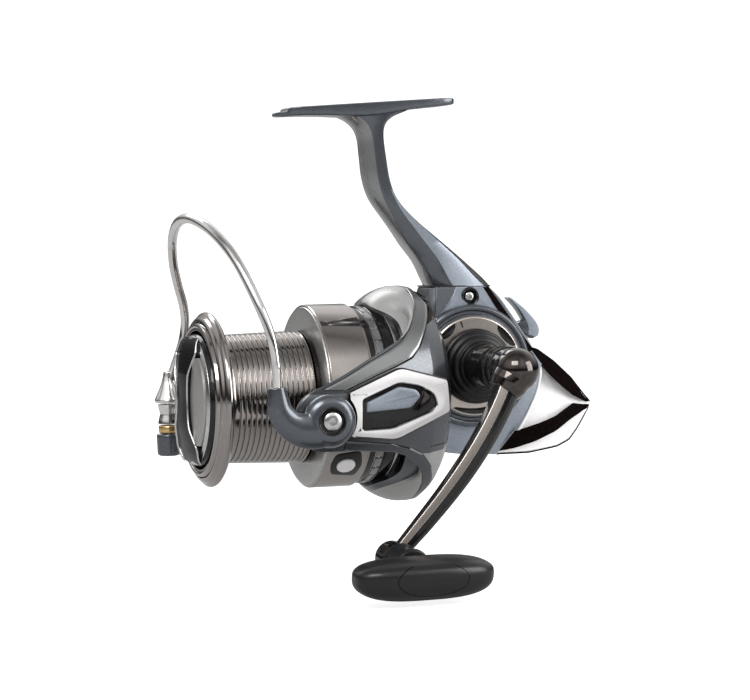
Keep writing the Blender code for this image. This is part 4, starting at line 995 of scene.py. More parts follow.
def arm_section(share):
    """A bar with a flat bright facet on one side of a ridge, a groove and a rounded back."""
    half = ramp(share, [(0.0, 5.2), (0.5, 4.6), (0.8, 3.9), (1.0, 3.1)])
    deep = ramp(share, [(0.0, 4.4), (0.5, 3.8), (1.0, 2.8)])
    points = [(-half, -0.2 * deep), (-half * 0.9, 0.60 * deep), (-half * 0.80, 0.74 * deep),
              (-0.18 * half, 0.94 * deep), (-0.08 * half, 0.78 * deep), (0.42 * half, 0.80 * deep),
              (0.94 * half, 0.28 * deep), (half, -0.3 * deep), (0.62 * half, -0.95 * deep),
              (-0.62 * half, -0.95 * deep)]
    return soften(points, [0.7, 0.25, 0.25, 0.2, 0.2, 1.4, 1.2, 1.2, 1.6, 1.6], 4)


ARM_BOW = Vector((-1.0, 0.6, -0.7))
ARM_BOW_DEPTH = 3.0
ARM_BOW_POWER = 0.8
BRONZE_COLUMNS = (11, 17)


def build_arm():
    """The bowed crank bar with its bronze facet, socket, cheeks, boss and the knob's pin head."""
    root = HEAD + ARM_LINE * 4.6 + Vector((0.6, 1.2, 0.0))
    reach = CRANK_END - root
    count = 40
    rings = []
    for i in range(count + 1):
        share = i / count
        swing = math.pi * share ** ARM_BOW_POWER
        here = root + reach * share + ARM_BOW * (ARM_BOW_DEPTH * math.sin(swing))
        tangent = (reach + ARM_BOW * (ARM_BOW_DEPTH * math.pi * math.cos(swing))).normalized()
        outward = (Vector((0, 1, 0)) - tangent * tangent.y).normalized()
        across = outward.cross(tangent).normalized()
        rings.append([at(*(here + across * a + outward * b)) for a, b in arm_section(share)])
    bar = add("crank_bar", loft("crank_bar", rings), BLACK_GLOSS)
    bar.data.materials.append(BRONZE)
    width = len(rings[0])
    for face in bar.data.polygons:
        columns = sorted(v % width for v in face.vertices)
        if len(columns) == 4 and columns[0] >= BRONZE_COLUMNS[0] and columns[-1] <= BRONZE_COLUMNS[1]:
            face.material_index = 1
    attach(bar, "arm")
    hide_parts("handle_arm")
    lathe("crank_socket", [(3.0, 0.0), (3.0, 7.7), (6.4, 7.5), (8.6, 6.6), (9.4, 6.3), (9.6, 5.2),
                           (9.6, 0.0)], DARK_CHROME, "arm", "handle_arm", ARM_LINE,
          tuple(HEAD), 72, 0.3)
    for side in (-1, 1):
        lathe(f"crank_cheek_{side + 1}", [(side * 7.0, 0.0), (side * 7.0, 4.2), (side * 6.4, 5.6),
                                          (side * 4.5, 6.4), (side * 4.5, 0.0)], DARK_CHROME, "arm",
              "handle_arm", FOLD, tuple(HEAD), 72, 0.6)
    lathe("crank_boss", [(5.2, 0.0), (5.2, 4.6), (4.7, 5.6), (3.6, 6.3), (-3.0, 6.4), (-4.6, 5.6),
                         (-5.2, 4.2), (-5.2, 0.0)], DARK_CHROME, "arm", "handle_arm",
          KNOB_AXIS, tuple(CRANK_END), 96, 0.8)
    lathe("stem_head", [(-5.3, 0.0), (-5.3, 3.4), (-6.4, 3.1), (-6.9, 2.0), (-6.9, 0.0)], STEEL, "arm",
          "knob_stem", KNOB_AXIS, tuple(CRANK_END), 64, 0.3)


KNOB_CENTRE = CRANK_END + KNOB_AXIS * 27.0
KNOB_POWER = 2.9
KNOB_TOP_SHARE = 0.72


def pillow(name, half_sizes, rows=72, columns=120):
    """The T-knob's body: flatter above, fuller below, blunt at both ends."""
    rings = []
    for i in range(1, rows):
        polar = math.pi * i / rows
        ring = []
        for j in range(columns):
            turn = TAU * j / columns
            raw = (math.cos(polar), math.sin(polar) * math.cos(turn), math.sin(polar) * math.sin(turn))
            reach = sum(abs(v) ** KNOB_POWER for v in raw) ** (1.0 / KNOB_POWER)
            u, v, w = (r / reach for r in raw)
            sag = 1.0 if w < 0 else KNOB_TOP_SHARE
            spot = (KNOB_LONG * (u * half_sizes[0]) + KNOB_AXIS * (v * half_sizes[1])
                    + KNOB_SHORT * (w * half_sizes[2] * sag))
            ring.append(at(*(KNOB_CENTRE + spot)))
        rings.append(ring)
    return loft(name, rings)


def knob_tool(half_width, half_height, low, high):
    """An oval plug that cuts the cap's seat in the knob and trims the cap to it."""
    turn = Matrix((KNOB_LONG, KNOB_AXIS, KNOB_SHORT)).transposed()
    return plate("knob_tool", ellipse(half_width, half_height, 96), low, high, BLACK_SATIN, bevel=0.0,
                 turn=turn, centre=tuple(KNOB_CENTRE))


def build_knob():
    """The T-knob, its oval cap and its rubber neck."""
    knob = add("knob_body", pillow("knob_body", (27.2, 10.3, 8.8)), BLACK_SATIN, "knob",
               "handle_knob")
    combine(knob, knob_tool(14.2, 6.2, 7.6, 16.0), "DIFFERENCE")
    cap = add("knob_oval", pillow("knob_oval", (27.2, 10.35, 8.8)), BLACK_SATIN, "knob",
              "knob_cap")
    combine(cap, knob_tool(13.95, 5.95, 7.7, 16.0), "INTERSECT")
    lathe("knob_collar", [(17.9, 2.4), (17.9, 7.0), (16.2, 7.4), (13.0, 6.3), (10.6, 6.0), (8.0, 6.6),
                          (6.4, 7.3), (5.7, 7.0), (5.7, 2.4)], RUBBER, "knob", "knob_neck",
          KNOB_AXIS, tuple(CRANK_END), 96, 0.5)


# ---------------------------------------------------------------------------------------------
# Rotor
# ---------------------------------------------------------------------------------------------
ARM_R = 42.3
PIVOT_X, PIVOT_UP = 29.2, -7.0
ROTOR_EDGE = [
    (-14.2, 42.0), (-13.9, 39.5), (-12.6, 36.3), (-9.6, 30.4), (-6.3, 25.6), (-1.9, 22.2), (3.8, 19.2),
    (11.4, 15.4), (22.0, 9.6), *arc(PIVOT_X, PIVOT_UP, 12.2, 68.0, -104.0, 15), (20.2, -18.6), (10.6, -19.0),
    (1.4, -19.7), (-4.0, -21.3), (-8.7, -24.5), (-12.6, -29.4), (-13.9, -34.5), (-14.2, -42.0),
]
ARCH_SECTION = [(-13.9, 42.7), (-11.0, 42.6), (-8.0, 41.9), (-5.4, 40.9), (-3.2, 39.7), (-1.2, 38.3),
                (0.2, 37.0), (0.45, 36.4), (0.1, 35.4), (-0.6, 34.4), (-1.6, 33.8), (-5.0, 33.0),
                (-8.2, 31.0)]


def edge_line():
    """The arms' front edge in side view, from the top arch round the pivot to the bottom arch."""
    line = soften(ROTOR_EDGE, [0, 2, 4, 5, 4, 4, 4, 4, 4, *[1.5] * 15, 3, 4, 4, 4, 5, 4, 3, 0], 4,
                  closed=False)
    fine = []
    for a, b in zip(line, line[1:]):
        angles = [math.asin(max(-1.0, min(1.0, p[1] / ARM_R))) for p in (a, b)]
        steps = max(1, math.ceil(max(abs(angles[1] - angles[0]) / math.radians(3.0), (b - a).length / 1.6)))
        for i in range(steps):
            t = i / steps
            if abs(a[1]) > 33.0:
                fine.append((between(a[0], b[0], t), ARM_R * math.sin(between(*angles, t))))
            else:
                fine.append(tuple(a.lerp(b, t)))
    return fine + [tuple(line[-1])]


def rotor_section(front, angle):
    """(x, radius) round the shell at one place: back cone, outer face, rim, inner face and fillet."""
    arm = max(0.0, min(1.0, (math.radians(76.0) - abs(angle)) / math.radians(30.0)))
    arm = arm * arm * (3.0 - 2.0 * arm)
    back = min(front - 1.0, -14.4)
    edge = [
        (front - 0.9, ARM_R), (front - 0.3, ARM_R - 0.25), (front, ARM_R - 0.9), (front, ARM_R - 2.2),
        (front - 0.3, 38.9), (front - 0.8, 38.5), (0.45 * front - 3.2, 38.3), (-6.4, 38.0), (-9.6, 37.4),
        (-11.0, 35.6), (-10.6, 33.0), (-9.4, 31.2), (-8.6, 30.7),
    ]
    rear = [(-23.8, 33.6), (-24.0, 34.4), (-23.6, 35.3), (-21.2, 38.9), (-20.3, 39.9)]
    rear += [(back - 2.2 + 1.8 * arm, 42.3 - 0.6 * arm), (back + 0.2 * arm, 42.65 - 0.6 * arm)]
    rim = [tuple(between(p, q, arm) for p, q in zip(a, b)) for a, b in zip(ARCH_SECTION, edge)]
    return rear + rim + [(-8.2, 29.6), (-22.8, 29.6), (-23.4, 32.4)]


RIBBON_R = 42.15
CORNER_R = 41.2
UPPER_FRONT = [(-14.6, 41.2), (-13.4, 36.9), (-10.5, 30.8), (-7.2, 26.0), (-2.7, 21.6), (3.4, 18.4),
               (11.2, 14.7), (22.0, 8.8), (31.0, 4.6)]
UPPER_REAR = [(-16.4, 40.4), (-18.9, 35.4), (-16.4, 29.6), (-14.0, 24.9), (-10.6, 19.3), (-6.8, 15.2),
              (-1.2, 12.7), (9.4, 8.6), (20.2, 4.2)]
LOWER_FRONT = [(-14.6, -41.2), (-14.6, -35.0), (-13.3, -30.4), (-9.4, -25.3), (-4.6, -22.1), (1.2, -20.4),
               (10.6, -19.8), (21.0, -19.2)]
LOWER_REAR = [(-16.4, -40.0), (-18.4, -32.6), (-15.9, -26.6), (-11.8, -21.9), (-6.2, -19.1), (1.8, -17.0),
              (11.0, -15.9), (20.4, -15.0)]
CORNER_FRONT = [(-16.0, 40.3), (-19.0, 35.9), (-17.4, 31.6), (-16.0, 28.6)]
CORNER_REAR = [(-19.4, 38.6), (-21.0, 35.6), (-20.4, 31.0), (-16.4, 28.0)]
# places in the shell's section between which it is painted pale, and how far back the pale part starts
PALE_SPOTS = (7, 19)
PALE_BEHIND = -2.0
COIL_TURNS = 6.0
COIL_STEPS = 144
COIL_R = 1.3


def build_rotor():
    """Shell with both arms, their painted ribbons, drum, core, back plate, trims and the bail spring."""
    columns = [(x, math.asin(max(-1.0, min(1.0, up / (ARM_R - 0.3))))) for x, up in edge_line()]
    rings = []
    fronts = []
    for sign in (1.0, -1.0):
        for x, angle in (columns if sign > 0 else list(reversed(columns)))[:-1]:
            section = rotor_section(x, angle)
            rings.append([at(a, sign * r * math.cos(angle), r * math.sin(angle)) for a, r in section])
            fronts.append(x)
    shell = add("rotor_shell", loft("rotor_shell", rings, closed=True), ROTOR_PAINT, "rotor",
                "rotor", 34.0)
    mesh = shell.data
    mesh.materials.append(ROTOR_PALE)
    width = len(rings[0])
    for face in mesh.polygons:
        spots = [v % width for v in face.vertices]
        ahead = max(fronts[v // width] for v in face.vertices)
        if min(spots) >= PALE_SPOTS[0] and max(spots) <= PALE_SPOTS[1] and ahead < PALE_BEHIND:
            face.material_index = 1
    for side, sign in SIDES:
        # Ribbons: the upper ones take the lighter copy of the rotor paint as painted light; the black rims on all
        # of them are a painted shadow line.
        rotor_inlay(f"arm_ribbon_upper_{side}", resample(UPPER_FRONT, 70), resample(UPPER_REAR, 70), RIBBON_R,
                    ROTOR_PAINT_LIT, 0.75, 0.8, 12, sign, BLACK_GLOSS)
        rotor_inlay(f"arm_ribbon_lower_{side}", resample(LOWER_FRONT, 70), resample(LOWER_REAR, 70), RIBBON_R,
                    ROTOR_PAINT, 0.6, 0.8, 12, sign, BLACK_GLOSS)
        # The dark patch at each arm's top corner is a painted dark reflection, in smoked chrome.
        rotor_inlay(f"arm_dark_reflection_patch_{side}", resample(CORNER_FRONT, 24), resample(CORNER_REAR, 24), CORNER_R,
                    DARK_CHROME, 0.9, 1.2, 8, sign)
    lathe("rotor_drum", [(-7.4, 30.6), (-7.0, 32.4), (-5.2, 33.4), (-3.4, 33.5), (-3.0, 34.2), (0.5, 34.3),
                         (0.7, 30.6), (16.2, 30.4), (16.8, 29.8), (16.8, 28.6), (-7.4, 28.6)], BLACK_GLOSS,
          "rotor", "rotor", steps=160, soft=0.2)
    lathe("rotor_inner_ring", [(-6.6, 33.2), (-6.2, 34.2), (-3.8, 34.4), (-3.4, 33.2), (-3.4, 31.0),
                               (-6.6, 31.0)], STEEL, "rotor", steps=160, soft=0.2)
    lathe("rotor_core", [(-6.6, 5.4), (-6.6, 29.0), (14.6, 29.0), (14.6, 28.4), (-5.6, 27.4), (-5.6, 10.0),
                         (17.0, 9.8), (17.0, 5.4)], ROTOR_PAINT, "rotor", "rotor", steps=96,
          soft=0.2)
    lathe("rotor_back_plate", [(-18.6, 15.6), (-18.6, 32.3), (-17.6, 32.8), (-17.6, 15.6)], ROTOR_PAINT,
          "rotor", "rotor", steps=96, soft=0.2)
    build_trims()
    coil = []
    for i in range(COIL_STEPS + 1):
        angle = TAU * COIL_TURNS * i / COIL_STEPS
        coil.append((3.0 + 10.0 * i / COIL_STEPS, COIL_R * math.cos(angle) - 39.6,
                     COIL_R * math.sin(angle) - 7.6))
    sweep("bail_spring_coil", coil, round_section(0.35), STEEL, "rotor", "bail_spring",
          first=(1, 0, 0))


TRIM_OUTER = [(20.6, 3.6), (-0.8, 12.4), (-19.8, 7.2), (-20.6, -5.5), (0.8, -15.8), (19.8, -13.8)]
TRIM_INNER = [(14.8, 0.4), (0.0, 6.4), (-8.0, 5.0), (-14.0, 1.5), (-15.0, -2.6), (-13.0, -4.8), (2.4, -10.8),
              (14.6, -11.2)]


def on_arm(x, up, radius, sign):
    """A point on the arm's barrel-shaped face at that radius."""
    return at(x, sign * math.sqrt(max(0.0, radius * radius - up * up)), up)


def matched(outline, centre, count):
    """Re-spaces a closed outline by direction from a centre, so that two outlines pair up."""
    points = [Vector(p) for p in outline]
    middle = Vector(centre)
    out = []
    for k in range(count):
        angle = TAU * k / count
        ray = Vector((math.cos(angle), math.sin(angle)))
        best = 0.0
        for a, b in zip(points, points[1:] + points[:1]):
            edge = b - a
            denominator = ray.x * edge.y - ray.y * edge.x
            if abs(denominator) < 1e-9:
                continue
            offset = a - middle
            t = (offset.x * edge.y - offset.y * edge.x) / denominator
            u = (offset.x * ray.y - offset.y * ray.x) / denominator
            if t > 0 and -1e-6 <= u <= 1 + 1e-6:
                best = max(best, t)
        out.append(middle + ray * best)
    return out


TRIM_CENTRE = (0.0, -2.0)
LOZENGE = [(13.2, -0.8), (0.0, 4.9), (-6.6, 3.7), (-8.8, 1.2), (-4.6, -3.4), (13.2, -4.6)]
PRONG = [(-9.6, 3.6), (-12.6, 1.0), (-12.2, -1.6), (-7.0, -5.4), (-4.8, -4.6), (-9.0, 0.6)]


def arm_relief(name, outline, levels, sign, mat, node=None):
    """A shape on the arm's face, built up from (distance inwards, radius) levels."""
    rings = [[on_arm(p[0], p[1], radius, sign) for p in inset(outline, distance)] for distance,
             radius in levels]
    return add(name, loft(name, rings), mat, "rotor", node)


def build_trims():
    """On each arm a bright bezel round a dark recess, with a lozenge plate and a prong in it; the bezel's white
    top and dark walls are painted reflections, and the recess floor is black as painted shade.
    """
    count = 240
    outer = matched(soften(TRIM_OUTER, [1.0, 2.5, 1.5, 1.5, 2.5, 1.0], 5), TRIM_CENTRE, count)
    inner = matched(soften(TRIM_INNER, [1.0, 2.0, 2.2, 2.2, 1.8, 2.2, 2.0, 1.0], 5), TRIM_CENTRE, count)
    outer = [clear_boss(p, 11.4) for p in outer]
    inner = [clear_boss(p, 14.0) for p in inner]
    levels = [(outer, 0.0, 42.2), (outer, 0.0, 43.3), (outer, 0.3, 43.75), (outer, 0.62, 44.0),
              (outer, 2.0, 44.06), (inner, -1.1, 44.06), (inner, -0.5, 43.95), (inner, -0.25, 43.7),
              (inner, 0.1, 43.1), (inner, 0.5, 41.2)]
    for side, sign in SIDES:
        rings = []
        for outline, distance, radius in levels:
            rings.append([on_arm(p[0], p[1], radius, sign) for p in inset(outline, distance)])
        bezel = add(f"arm_trim_{side}_bezel", loft("trim", rings, closed=True), SILVER_WHITE_REFLECTION, "rotor",
                    f"arm_trim_{side}", 24.0)
        bezel.data.materials.append(DARK_CHROME)
        bezel.data.materials.append(CHROME)
        # Bezel faces: dark walls and a white top as painted reflections, chrome on the inner bevel.
        last = len(levels) - 1
        for face in bezel.data.polygons:
            level = min(v // count for v in face.vertices)
            if level == 0 and max(v // count for v in face.vertices) == last:
                level = last
            face.material_index = 1 if level < 3 or level > 7 else (2 if level > 5 else 0)
        # The recess floor is black: painted shade of the vent opening behind the bezel.
        arm_relief(f"arm_recess_{side}", inner,
                   ((-0.6, 41.0), (-0.6, 42.42), (0.5, 42.42), (2.0, 42.42), (3.4, 42.42)), sign, BLACK_GLOSS)
        lozenge = [clear_boss(p, 14.4) for p in soften(LOZENGE, [0.6, 1.0, 2.0, 2.0, 1.5, 0.6], 5)]
        arm_relief(f"arm_lozenge_{side}", lozenge,
                   ((0.0, 42.2), (0.0, 42.9), (0.2, 43.25), (0.6, 43.4), (1.6, 43.42)), sign, PAINT_LIGHT,
                   f"arm_plate_{side}")
        arm_relief(f"arm_prong_{side}", soften(PRONG, 1.0, 4),
                   ((0.0, 42.2), (0.0, 42.6), (0.3, 42.95), (0.8, 42.8)), sign, DARK_CHROME)


def clear_boss(point, radius):
    """Pushes a point out of the pivot boss's circle."""
    away = Vector((point[0] - PIVOT_X, point[1] - PIVOT_UP))
    if away.length < radius:
        away = away.normalized() * radius
        return Vector((PIVOT_X + away.x, PIVOT_UP + away.y))
    return Vector(point)


# ---------------------------------------------------------------------------------------------
# Bail
# ---------------------------------------------------------------------------------------------
ROLLER_X, ROLLER_Y = 68.5, -45.0
ROLLER = (ROLLER_X, ROLLER_Y, 0.0)
PIVOT = (PIVOT_X, 0, PIVOT_UP)
PIVOT_FACE = 50.3
WIRE_GUIDES = [
    (50.0, 47.4, 4.0), (50.0, 47.5, 9.0), (50.2, 47.6, 16.0), (52.0, 47.0, 26.5), (56.0, 43.4, 39.0),
    (60.8, 35.5, 53.0), (64.4, 25.5, 61.7), (67.6, 13.5, 67.6), (70.3, 0.0, 70.4), (71.4, -13.0, 68.4),
    (70.4, -25.0, 62.0), (68.2, -33.0, 53.0), (65.2, -38.0, 44.0), (62.4, -41.0, 36.0), (61.2, -43.2, 29.0),
    (62.2, -44.4, 21.0), (65.2, -45.0, 12.0), (67.4, ROLLER_Y, 6.0),
]


def build_bail():
    """The bail wire with its cone, the hooked near holder, the far arm, the pivots and the line roller."""
    wire = curve_through(WIRE_GUIDES, 12)

    def wire_section(i, total):
        radius = ramp(i / (total - 1), [(0.0, 1.6), (0.2, 1.8), (0.42, 2.05), (0.6, 1.8), (1.0, 1.7)])
        return ellipse(radius, radius)

    sweep("bail_wire_rod", wire, wire_section, CHROME, "bail", "bail_wire")
    lathe("wire_cone", [(9.6, 0.0), (9.6, 1.5), (7.4, 1.8), (5.0, 2.4), (2.8, 3.2), (0.8, 4.1), (-0.9, 4.9),
                        (-2.2, 5.4), (-3.0, 5.2), (-3.3, 4.6), (-3.3, 0.0)], CHROME, "bail",
          "bail_wire", "Z", ROLLER, 96, 0.8)
    hook = curve_through([(49.9, 47.4, 6.4), (49.6, 47.5, 2.0), (48.6, 47.6, -3.0), (45.4, 47.7, -7.4),
                          (40.0, 47.6, -10.0), (34.0, 47.5, -9.6), (29.2, 47.4, -7.0)], 10)

    def hook_section(i, total):
        share = i / (total - 1)
        wide = ramp(share, [(0.0, 3.4), (0.25, 4.6), (0.5, 5.6), (0.75, 7.2), (1.0, 8.6)])
        deep = ramp(share, [(0.0, 3.0), (0.5, 2.9), (1.0, 2.7)])
        return ellipse(deep, wide)

    hook_body = sweep("hook_blank", hook, hook_section, ROTOR_PAINT)
    boss = lathe("hook_boss", [(50.3, 0.0), (50.3, 5.6), (50.0, 7.6), (49.0, 9.3), (47.2, 10.2),
                               (45.2, 10.3), (44.8, 9.6), (44.8, 0.0)], ROTOR_PAINT, axis="Y", centre=PIVOT,
                 steps=72, soft=0.5)
    hook_piece = blend_solid("bail_hook", [hook_body, boss], 0.32, 9, PAINT, "bail",
                             "bail_holder_near")
    pocket = lathe("pivot_pocket", [(49.3, 0.0), (49.3, 5.3), (56.0, 5.3), (56.0, 0.0)], BLACK_GLOSS,
                   axis="Y", centre=PIVOT, steps=64, soft=0.0)
    combine(hook_piece, pocket, "DIFFERENCE")
    far = curve_through([(29.2, -47.4, -7.0), (36.0, -47.5, -9.4), (45.0, -47.5, -13.6), (55.0, -47.2, -18.0),
                         (63.0, -46.2, -20.2), (68.5, -45.2, -20.6)], 10)

    def far_section(i, total):
        share = i / (total - 1)
        wide = ramp(share, [(0.0, 8.4), (0.3, 6.6), (0.7, 4.6), (1.0, 3.8)])
        return ellipse(2.8, wide)

    far_body = sweep("far_blank", far, far_section, ROTOR_PAINT)
    far_boss = lathe("far_boss_blank", [(-50.3, 0.0), (-50.3, 5.6), (-50.0, 7.6), (-49.0, 9.0),
                                        (-47.2, 9.7), (-44.9, 9.4), (-44.9, 0.0)], ROTOR_PAINT, axis="Y",
                     centre=PIVOT, steps=72, soft=0.5)
    barrel = lathe("barrel_blank", [(-24.7, 0.0), (-24.7, 3.6), (-24.0, 4.6), (-16.4, 4.9), (-15.7, 4.5),
                                    (-15.7, 0.0)], ROTOR_PAINT, axis="Z", centre=ROLLER, steps=64, soft=0.4)
    blend_solid("bail_far_arm", [far_body, far_boss, barrel], 0.34, 6, PAINT, "bail",
                "bail_arm_far")
    for side, sign in SIDES:
        y = sign * PIVOT_FACE
        # Black cup and pit round each pivot head: painted shade of the recess.
        lathe(f"pivot_cup_{side}", [(y + sign * 0.1, 4.9), (y + sign * 0.22, 5.3), (y - sign * 0.1, 5.6),
                                    (y - sign * 1.2, 5.4), (y - sign * 1.2, 4.8)], BLACK_GLOSS, "bail",
              None, "Y", PIVOT, 80, 0.12)
        lathe(f"pivot_pit_{side}", [(y - sign * 0.9, 0.0), (y - sign * 0.85, 4.9), (y - sign * 1.6, 4.9),
                                    (y - sign * 1.6, 0.0)], BLACK_GLOSS, "bail", None, "Y",
              PIVOT, 64, 0.05)
        hex_screw(f"pivot_head_{side}", (PIVOT_X, y - sign * 0.75, PIVOT_UP), 3.7, 1.5, 1.7, "bail",
                  f"pivot_screw_{side}", sign)
        lathe(f"holder_root_{side}", [(sign * 42.7, 2.4), (sign * 42.7, 9.0), (sign * 46.4, 9.1),
                                      (sign * 46.4, 2.4)], ROTOR_PAINT, "bail", None, "Y",
              PIVOT, 96, 0.3)
    lathe("roller_wheel", [(-3.8, 1.9), (-3.8, 4.2), (-5.4, 3.9), (-7.8, 3.3), (-10.2, 3.9), (-11.8, 4.2),
                           (-11.8, 1.9)], CHROME, "roller", "line_roller", "Z", ROLLER,
          96, 0.4)
    lathe("roller_gold_ring", [(-12.3, 1.9), (-12.3, 3.7), (-12.9, 4.0), (-14.8, 4.0), (-15.4, 3.7),
                               (-15.4, 1.9)], GOLD, "bail", "roller_collar", "Z", ROLLER, 96, 0.3)


# ---------------------------------------------------------------------------------------------
# Spool and drag knob
# ---------------------------------------------------------------------------------------------
SPOOL_GROOVES = 15
CLIP_ANGLE = math.radians(45.0)


def round_skirt(spot):
    """Lays a flat plate's point on the round of the skirt."""
    return Vector((spot.x, math.sqrt(max(1.0, spot.y ** 2 - spot.z ** 2)), spot.z))


def build_spool():
    """Grooved spool, front lip, dark neck, skirt with its rings and grooves, and the line clip."""
    grooves = []
    for i in range(SPOOL_GROOVES):
        x = 59.4 - 2.08 * i
        r = 25.0 + 0.06 * i
        grooves += [(x, r), (x - 1.5, r), (x - 1.72, r - 0.5), (x - 1.9, r - 0.5)]
    lathe("spool_body", [(61.0, 21.2), (61.0, 27.4), (68.2, 27.9), (68.6, 28.6), (68.2, 29.6), (66.8, 30.1),
                         (62.0, 30.1), (61.0, 29.8), (60.5, 28.2), (60.2, 25.2), *grooves, (28.0, 25.9),
                         (27.2, 25.0), (27.0, 22.8), (25.2, 22.8), (25.2, 30.4), (24.9, 30.6), (24.9, 34.4),
                         (24.75, 35.5), (24.3, 35.95), (8.4, 36.0), (8.0, 35.4), (7.4, 35.4), (7.2, 34.2),
                         (4.9, 34.2), (4.6, 34.4), (2.6, 34.8), (2.3, 34.4), (1.0, 34.4), (1.0, 33.6),
                         (22.0, 33.6), (22.0, 21.2)], SPOOL, "spool", "spool", steps=192,
          soft=0.12)
    lathe("spool_front_ring", [(61.4, 30.4), (62.0, 32.2), (63.0, 33.6), (63.9, 34.0), (64.7, 33.8),
                               (65.3, 33.2), (65.7, 32.5), (66.6, 32.0), (67.1, 31.2), (67.3, 30.4)], LIP,
          "spool", "spool_lip", steps=192, soft=0.25)
    lathe("spool_dark_neck", [(25.3, 22.9), (25.3, 25.8), (27.0, 25.9), (27.0, 22.9)], BROWN_BLACK, "spool",
          steps=128, soft=0.1)
    lathe("spool_inner_wall", [(60.9, 26.4), (60.9, 27.3), (68.0, 27.8), (68.0, 26.9)], BLACK_GLOSS, "spool",
          steps=160, soft=0.1)
    lathe("spool_skirt_face", [(25.0, 23.0), (25.3, 23.2), (25.45, 34.3), (25.3, 34.9), (24.6, 35.2),
                               (24.4, 23.0)], SATIN_METAL, "spool", steps=192, soft=0.12)
    notch_ring()
    # A black ring in the skirt's groove as painted shade, and a black ring behind the notched ring as a painted
    # shadow.
    lathe("spool_skirt_groove", [(7.1, 33.9), (7.1, 34.5), (4.7, 34.5), (4.7, 33.9)], BLACK_GLOSS, "spool",
          steps=160, soft=0.05)
    lathe("spool_rear_ring", [(1.2, 33.7), (1.3, 34.6), (0.9, 34.8), (0.8, 33.7)], BLACK_GLOSS, "spool",
          steps=160, soft=0.05)
    out = Vector((0.0, math.cos(CLIP_ANGLE), -math.sin(CLIP_ANGLE)))
    along = Vector((0.0, math.sin(CLIP_ANGLE), math.cos(CLIP_ANGLE)))
    turn = Matrix((Vector((1, 0, 0)), out, along)).transposed()
    seat = soften([(11.4, -7.2), (21.4, -5.6), (22.6, 0.0), (21.4, 5.6), (11.4, 7.2), (9.8, 0.0)], 1.8, 4)
    plate("clip_seat", seat, 35.3, 36.45, BLACK_GLOSS, "spool", "line_clip_plate", 0.3,
          turn=turn, centre=(0, 0, 0), shift=round_skirt)
    lathe("clip_button", [(36.0, 0.0), (36.0, 3.7), (36.7, 3.7), (36.95, 3.45), (37.05, 2.6), (37.08, 0.0)],
          SILVER_WHITE_REFLECTION, "spool", "line_clip", out, (16.4, 0, 0), 72, 0.2)


def notch_ring():
    """A polished ring behind the skirt with a row of small notches."""
    count = 36

    def dips(angle, along, radius):
        if radius < 34.6 or along > 4.4:
            return 1.0
        share = (angle * count / TAU) % 1.0
        return 1.0 - (0.022 if share > 0.82 else 0.0)

    lathe("spool_notch_ring", [(4.4, 33.9), (4.4, 35.05), (1.5, 34.9), (1.4, 33.9)], ROTOR_PAINT_LIT, "spool",
          (), steps=432, soft=0.15, wobble=dips)


GRIP_FRONT = [(0.0, 74.7), (10.0, 74.95), (11.5, 74.7), (22.6, 71.9), (24.4, 70.6)]
GRIP_FLARE_UP = 18.3
GRIP_ROWS = [0.0, 3.0, 6.0, 9.0, 11.0, 12.0, 15.0, 18.3, 21.0, 23.6, 24.4]
EDGE_STEPS = 40
LENS_STEPS = 28


def bar_half_width(up):
    """Half width of the grip bar, waisted in the middle."""
    return 7.5 + 6.5 * min(1.0, abs(up) / GRIP_FLARE_UP) ** 2


def grip_half_width(up):
    """The bar's half width, drawn in again past the flare."""
    return bar_half_width(up) - (0.0 if abs(up) < 18.4 else (abs(up) - GRIP_FLARE_UP) * 0.45)


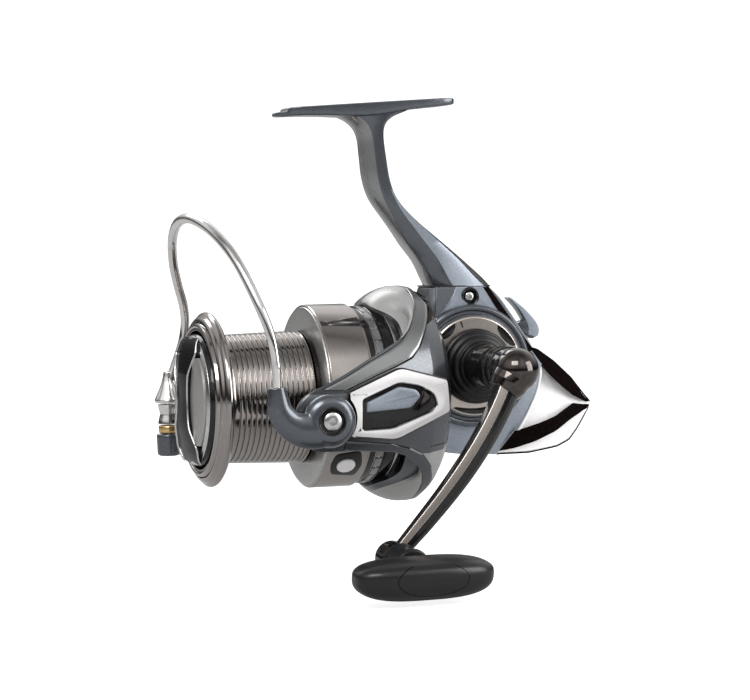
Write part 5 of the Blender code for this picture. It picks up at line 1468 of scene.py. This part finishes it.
def build_drag_knob():
    """Disc, bright rim, grip bar with bright edges, and a lens on each side of the bar."""
    lathe("knob_disc", [(70.4, 0.0), (70.6, 22.9), (70.3, 23.6), (69.4, 25.2), (68.0, 25.9), (66.9, 25.9),
                        (66.6, 25.4), (64.2, 25.4), (63.9, 25.9), (63.0, 25.9), (62.2, 25.2), (62.2, 0.0)],
          BLACK_GLOSS, "drag_knob", "drag_knob", steps=192, soft=0.25)
    lathe("knob_rim", [(69.2, 24.9), (69.9, 25.1), (70.2, 24.5), (70.75, 23.4), (70.6, 22.8), (69.2, 22.8)],
          STEEL, "drag_knob", steps=192, soft=0.2)
    rings = []
    for up in [-row for row in reversed(GRIP_ROWS[1:])] + GRIP_ROWS:
        half = grip_half_width(up)
        front = ramp(abs(up), GRIP_FRONT)
        section = soften([(70.0, -half), (front - 0.5, -half + 0.5), (front - 0.5, half - 0.5), (70.0, half)],
                         [0.1, 0.9, 0.9, 0.1], 4)
        rings.append([at(p[0], p[1], up) for p in section])
    add("knob_grip", loft("knob_grip", rings), GRIP_BLACK, "drag_knob", "drag_knob")
    for side, sign in SIDES:
        rings = []
        for up in [-16.8 + 33.6 * i / LENS_STEPS for i in range(LENS_STEPS + 1)]:
            near = bar_half_width(up) + 0.2
            wide = math.sqrt(max(0.0, 22.5 ** 2 - up * up))
            wide = max(near + 0.3, wide)
            ring = [at(72.9 - 1.5 * t, sign * between(near, wide, t), up)
                    for t in (0.0, 0.05, 0.5, 0.95, 1.0)]
            ring += [at(70.2, sign * wide, up), at(70.2, sign * near, up)]
            rings.append(ring)
        add(f"knob_lens_{side}_face", loft("lens", rings), LENS, "drag_knob", f"knob_lens_{side}")
        edge = []
        sunk, radius = (0.75, 0.42) if sign > 0 else (0.45, 0.6)
        for i in range(EDGE_STEPS + 1):
            up = -24.0 + 48.0 * i / EDGE_STEPS
            front = ramp(abs(up), GRIP_FRONT) - sunk
            edge.append((front, sign * (grip_half_width(up) - 0.25), up))
        sweep(f"knob_grip_edge_{side}", edge, round_section(radius), STEEL, "drag_knob",
              first=(1, 0, 0))


BUILDERS = (build_stem, build_housing, build_side_ring, build_bosses, build_cover_screws, build_tail,
            build_lever, build_handle, build_arm, build_knob, build_rotor, build_bail, build_spool,
            build_drag_knob)
FLOOR_HALF = 40.0
FLOOR_GAP = 0.002


def add_floor():
    """A plain pale floor just under the reel, brighter to the camera than as a lamp."""
    mesh = bpy.data.meshes.new("floor")
    corners = ((-1.0, -1.0), (1.0, -1.0), (1.0, 1.0), (-1.0, 1.0))
    mesh.from_pydata([(x * FLOOR_HALF, y * FLOOR_HALF, 0.0) for x, y in corners], [], [(0, 1, 2, 3)])
    floor = bpy.data.objects.new("floor", mesh)
    floor.location.z = CAD_BOX[0][2] - FLOOR_GAP
    bpy.context.scene.collection.objects.link(floor)
    pale = material("pale_floor", (0.50, 0.50, 0.50), (0.52, 0.52, 0.52), 0.9, 0.0, 3.0, bump=0.0, wear=0.0,
                    specular=0.0)
    shader = pale.node_tree.nodes["Principled BSDF"]
    shader.inputs["Emission Color"].default_value = (1.0, 1.0, 1.0, 1.0)
    paths = pale.node_tree.nodes.new("ShaderNodeLightPath")
    glow = pale.node_tree.nodes.new("ShaderNodeMapRange")
    glow.inputs["To Min"].default_value = 0.02
    glow.inputs["To Max"].default_value = 0.85
    pale.node_tree.links.new(paths.outputs["Is Camera Ray"], glow.inputs["Value"])
    pale.node_tree.links.new(glow.outputs[0], shader.inputs["Emission Strength"])
    floor.data.materials.append(pale)


def main():
    """Camera, studio and floor, then every piece of the reel."""
    add_camera()
    add_world()
    add_floor()
    add_area("key", (0.5, 0.9, 0.75), (0.7, 0.5), 9.0)
    add_area("fill", (-0.9, 0.7, 0.25), (0.6, 0.8), 9.0)
    add_area("back", (0.2, -0.9, 0.7), (0.8, 0.5), 4.0)
    bpy.context.scene.view_settings.view_transform = "Standard"
    paint_frame()
    for build in BUILDERS:
        build()


main()
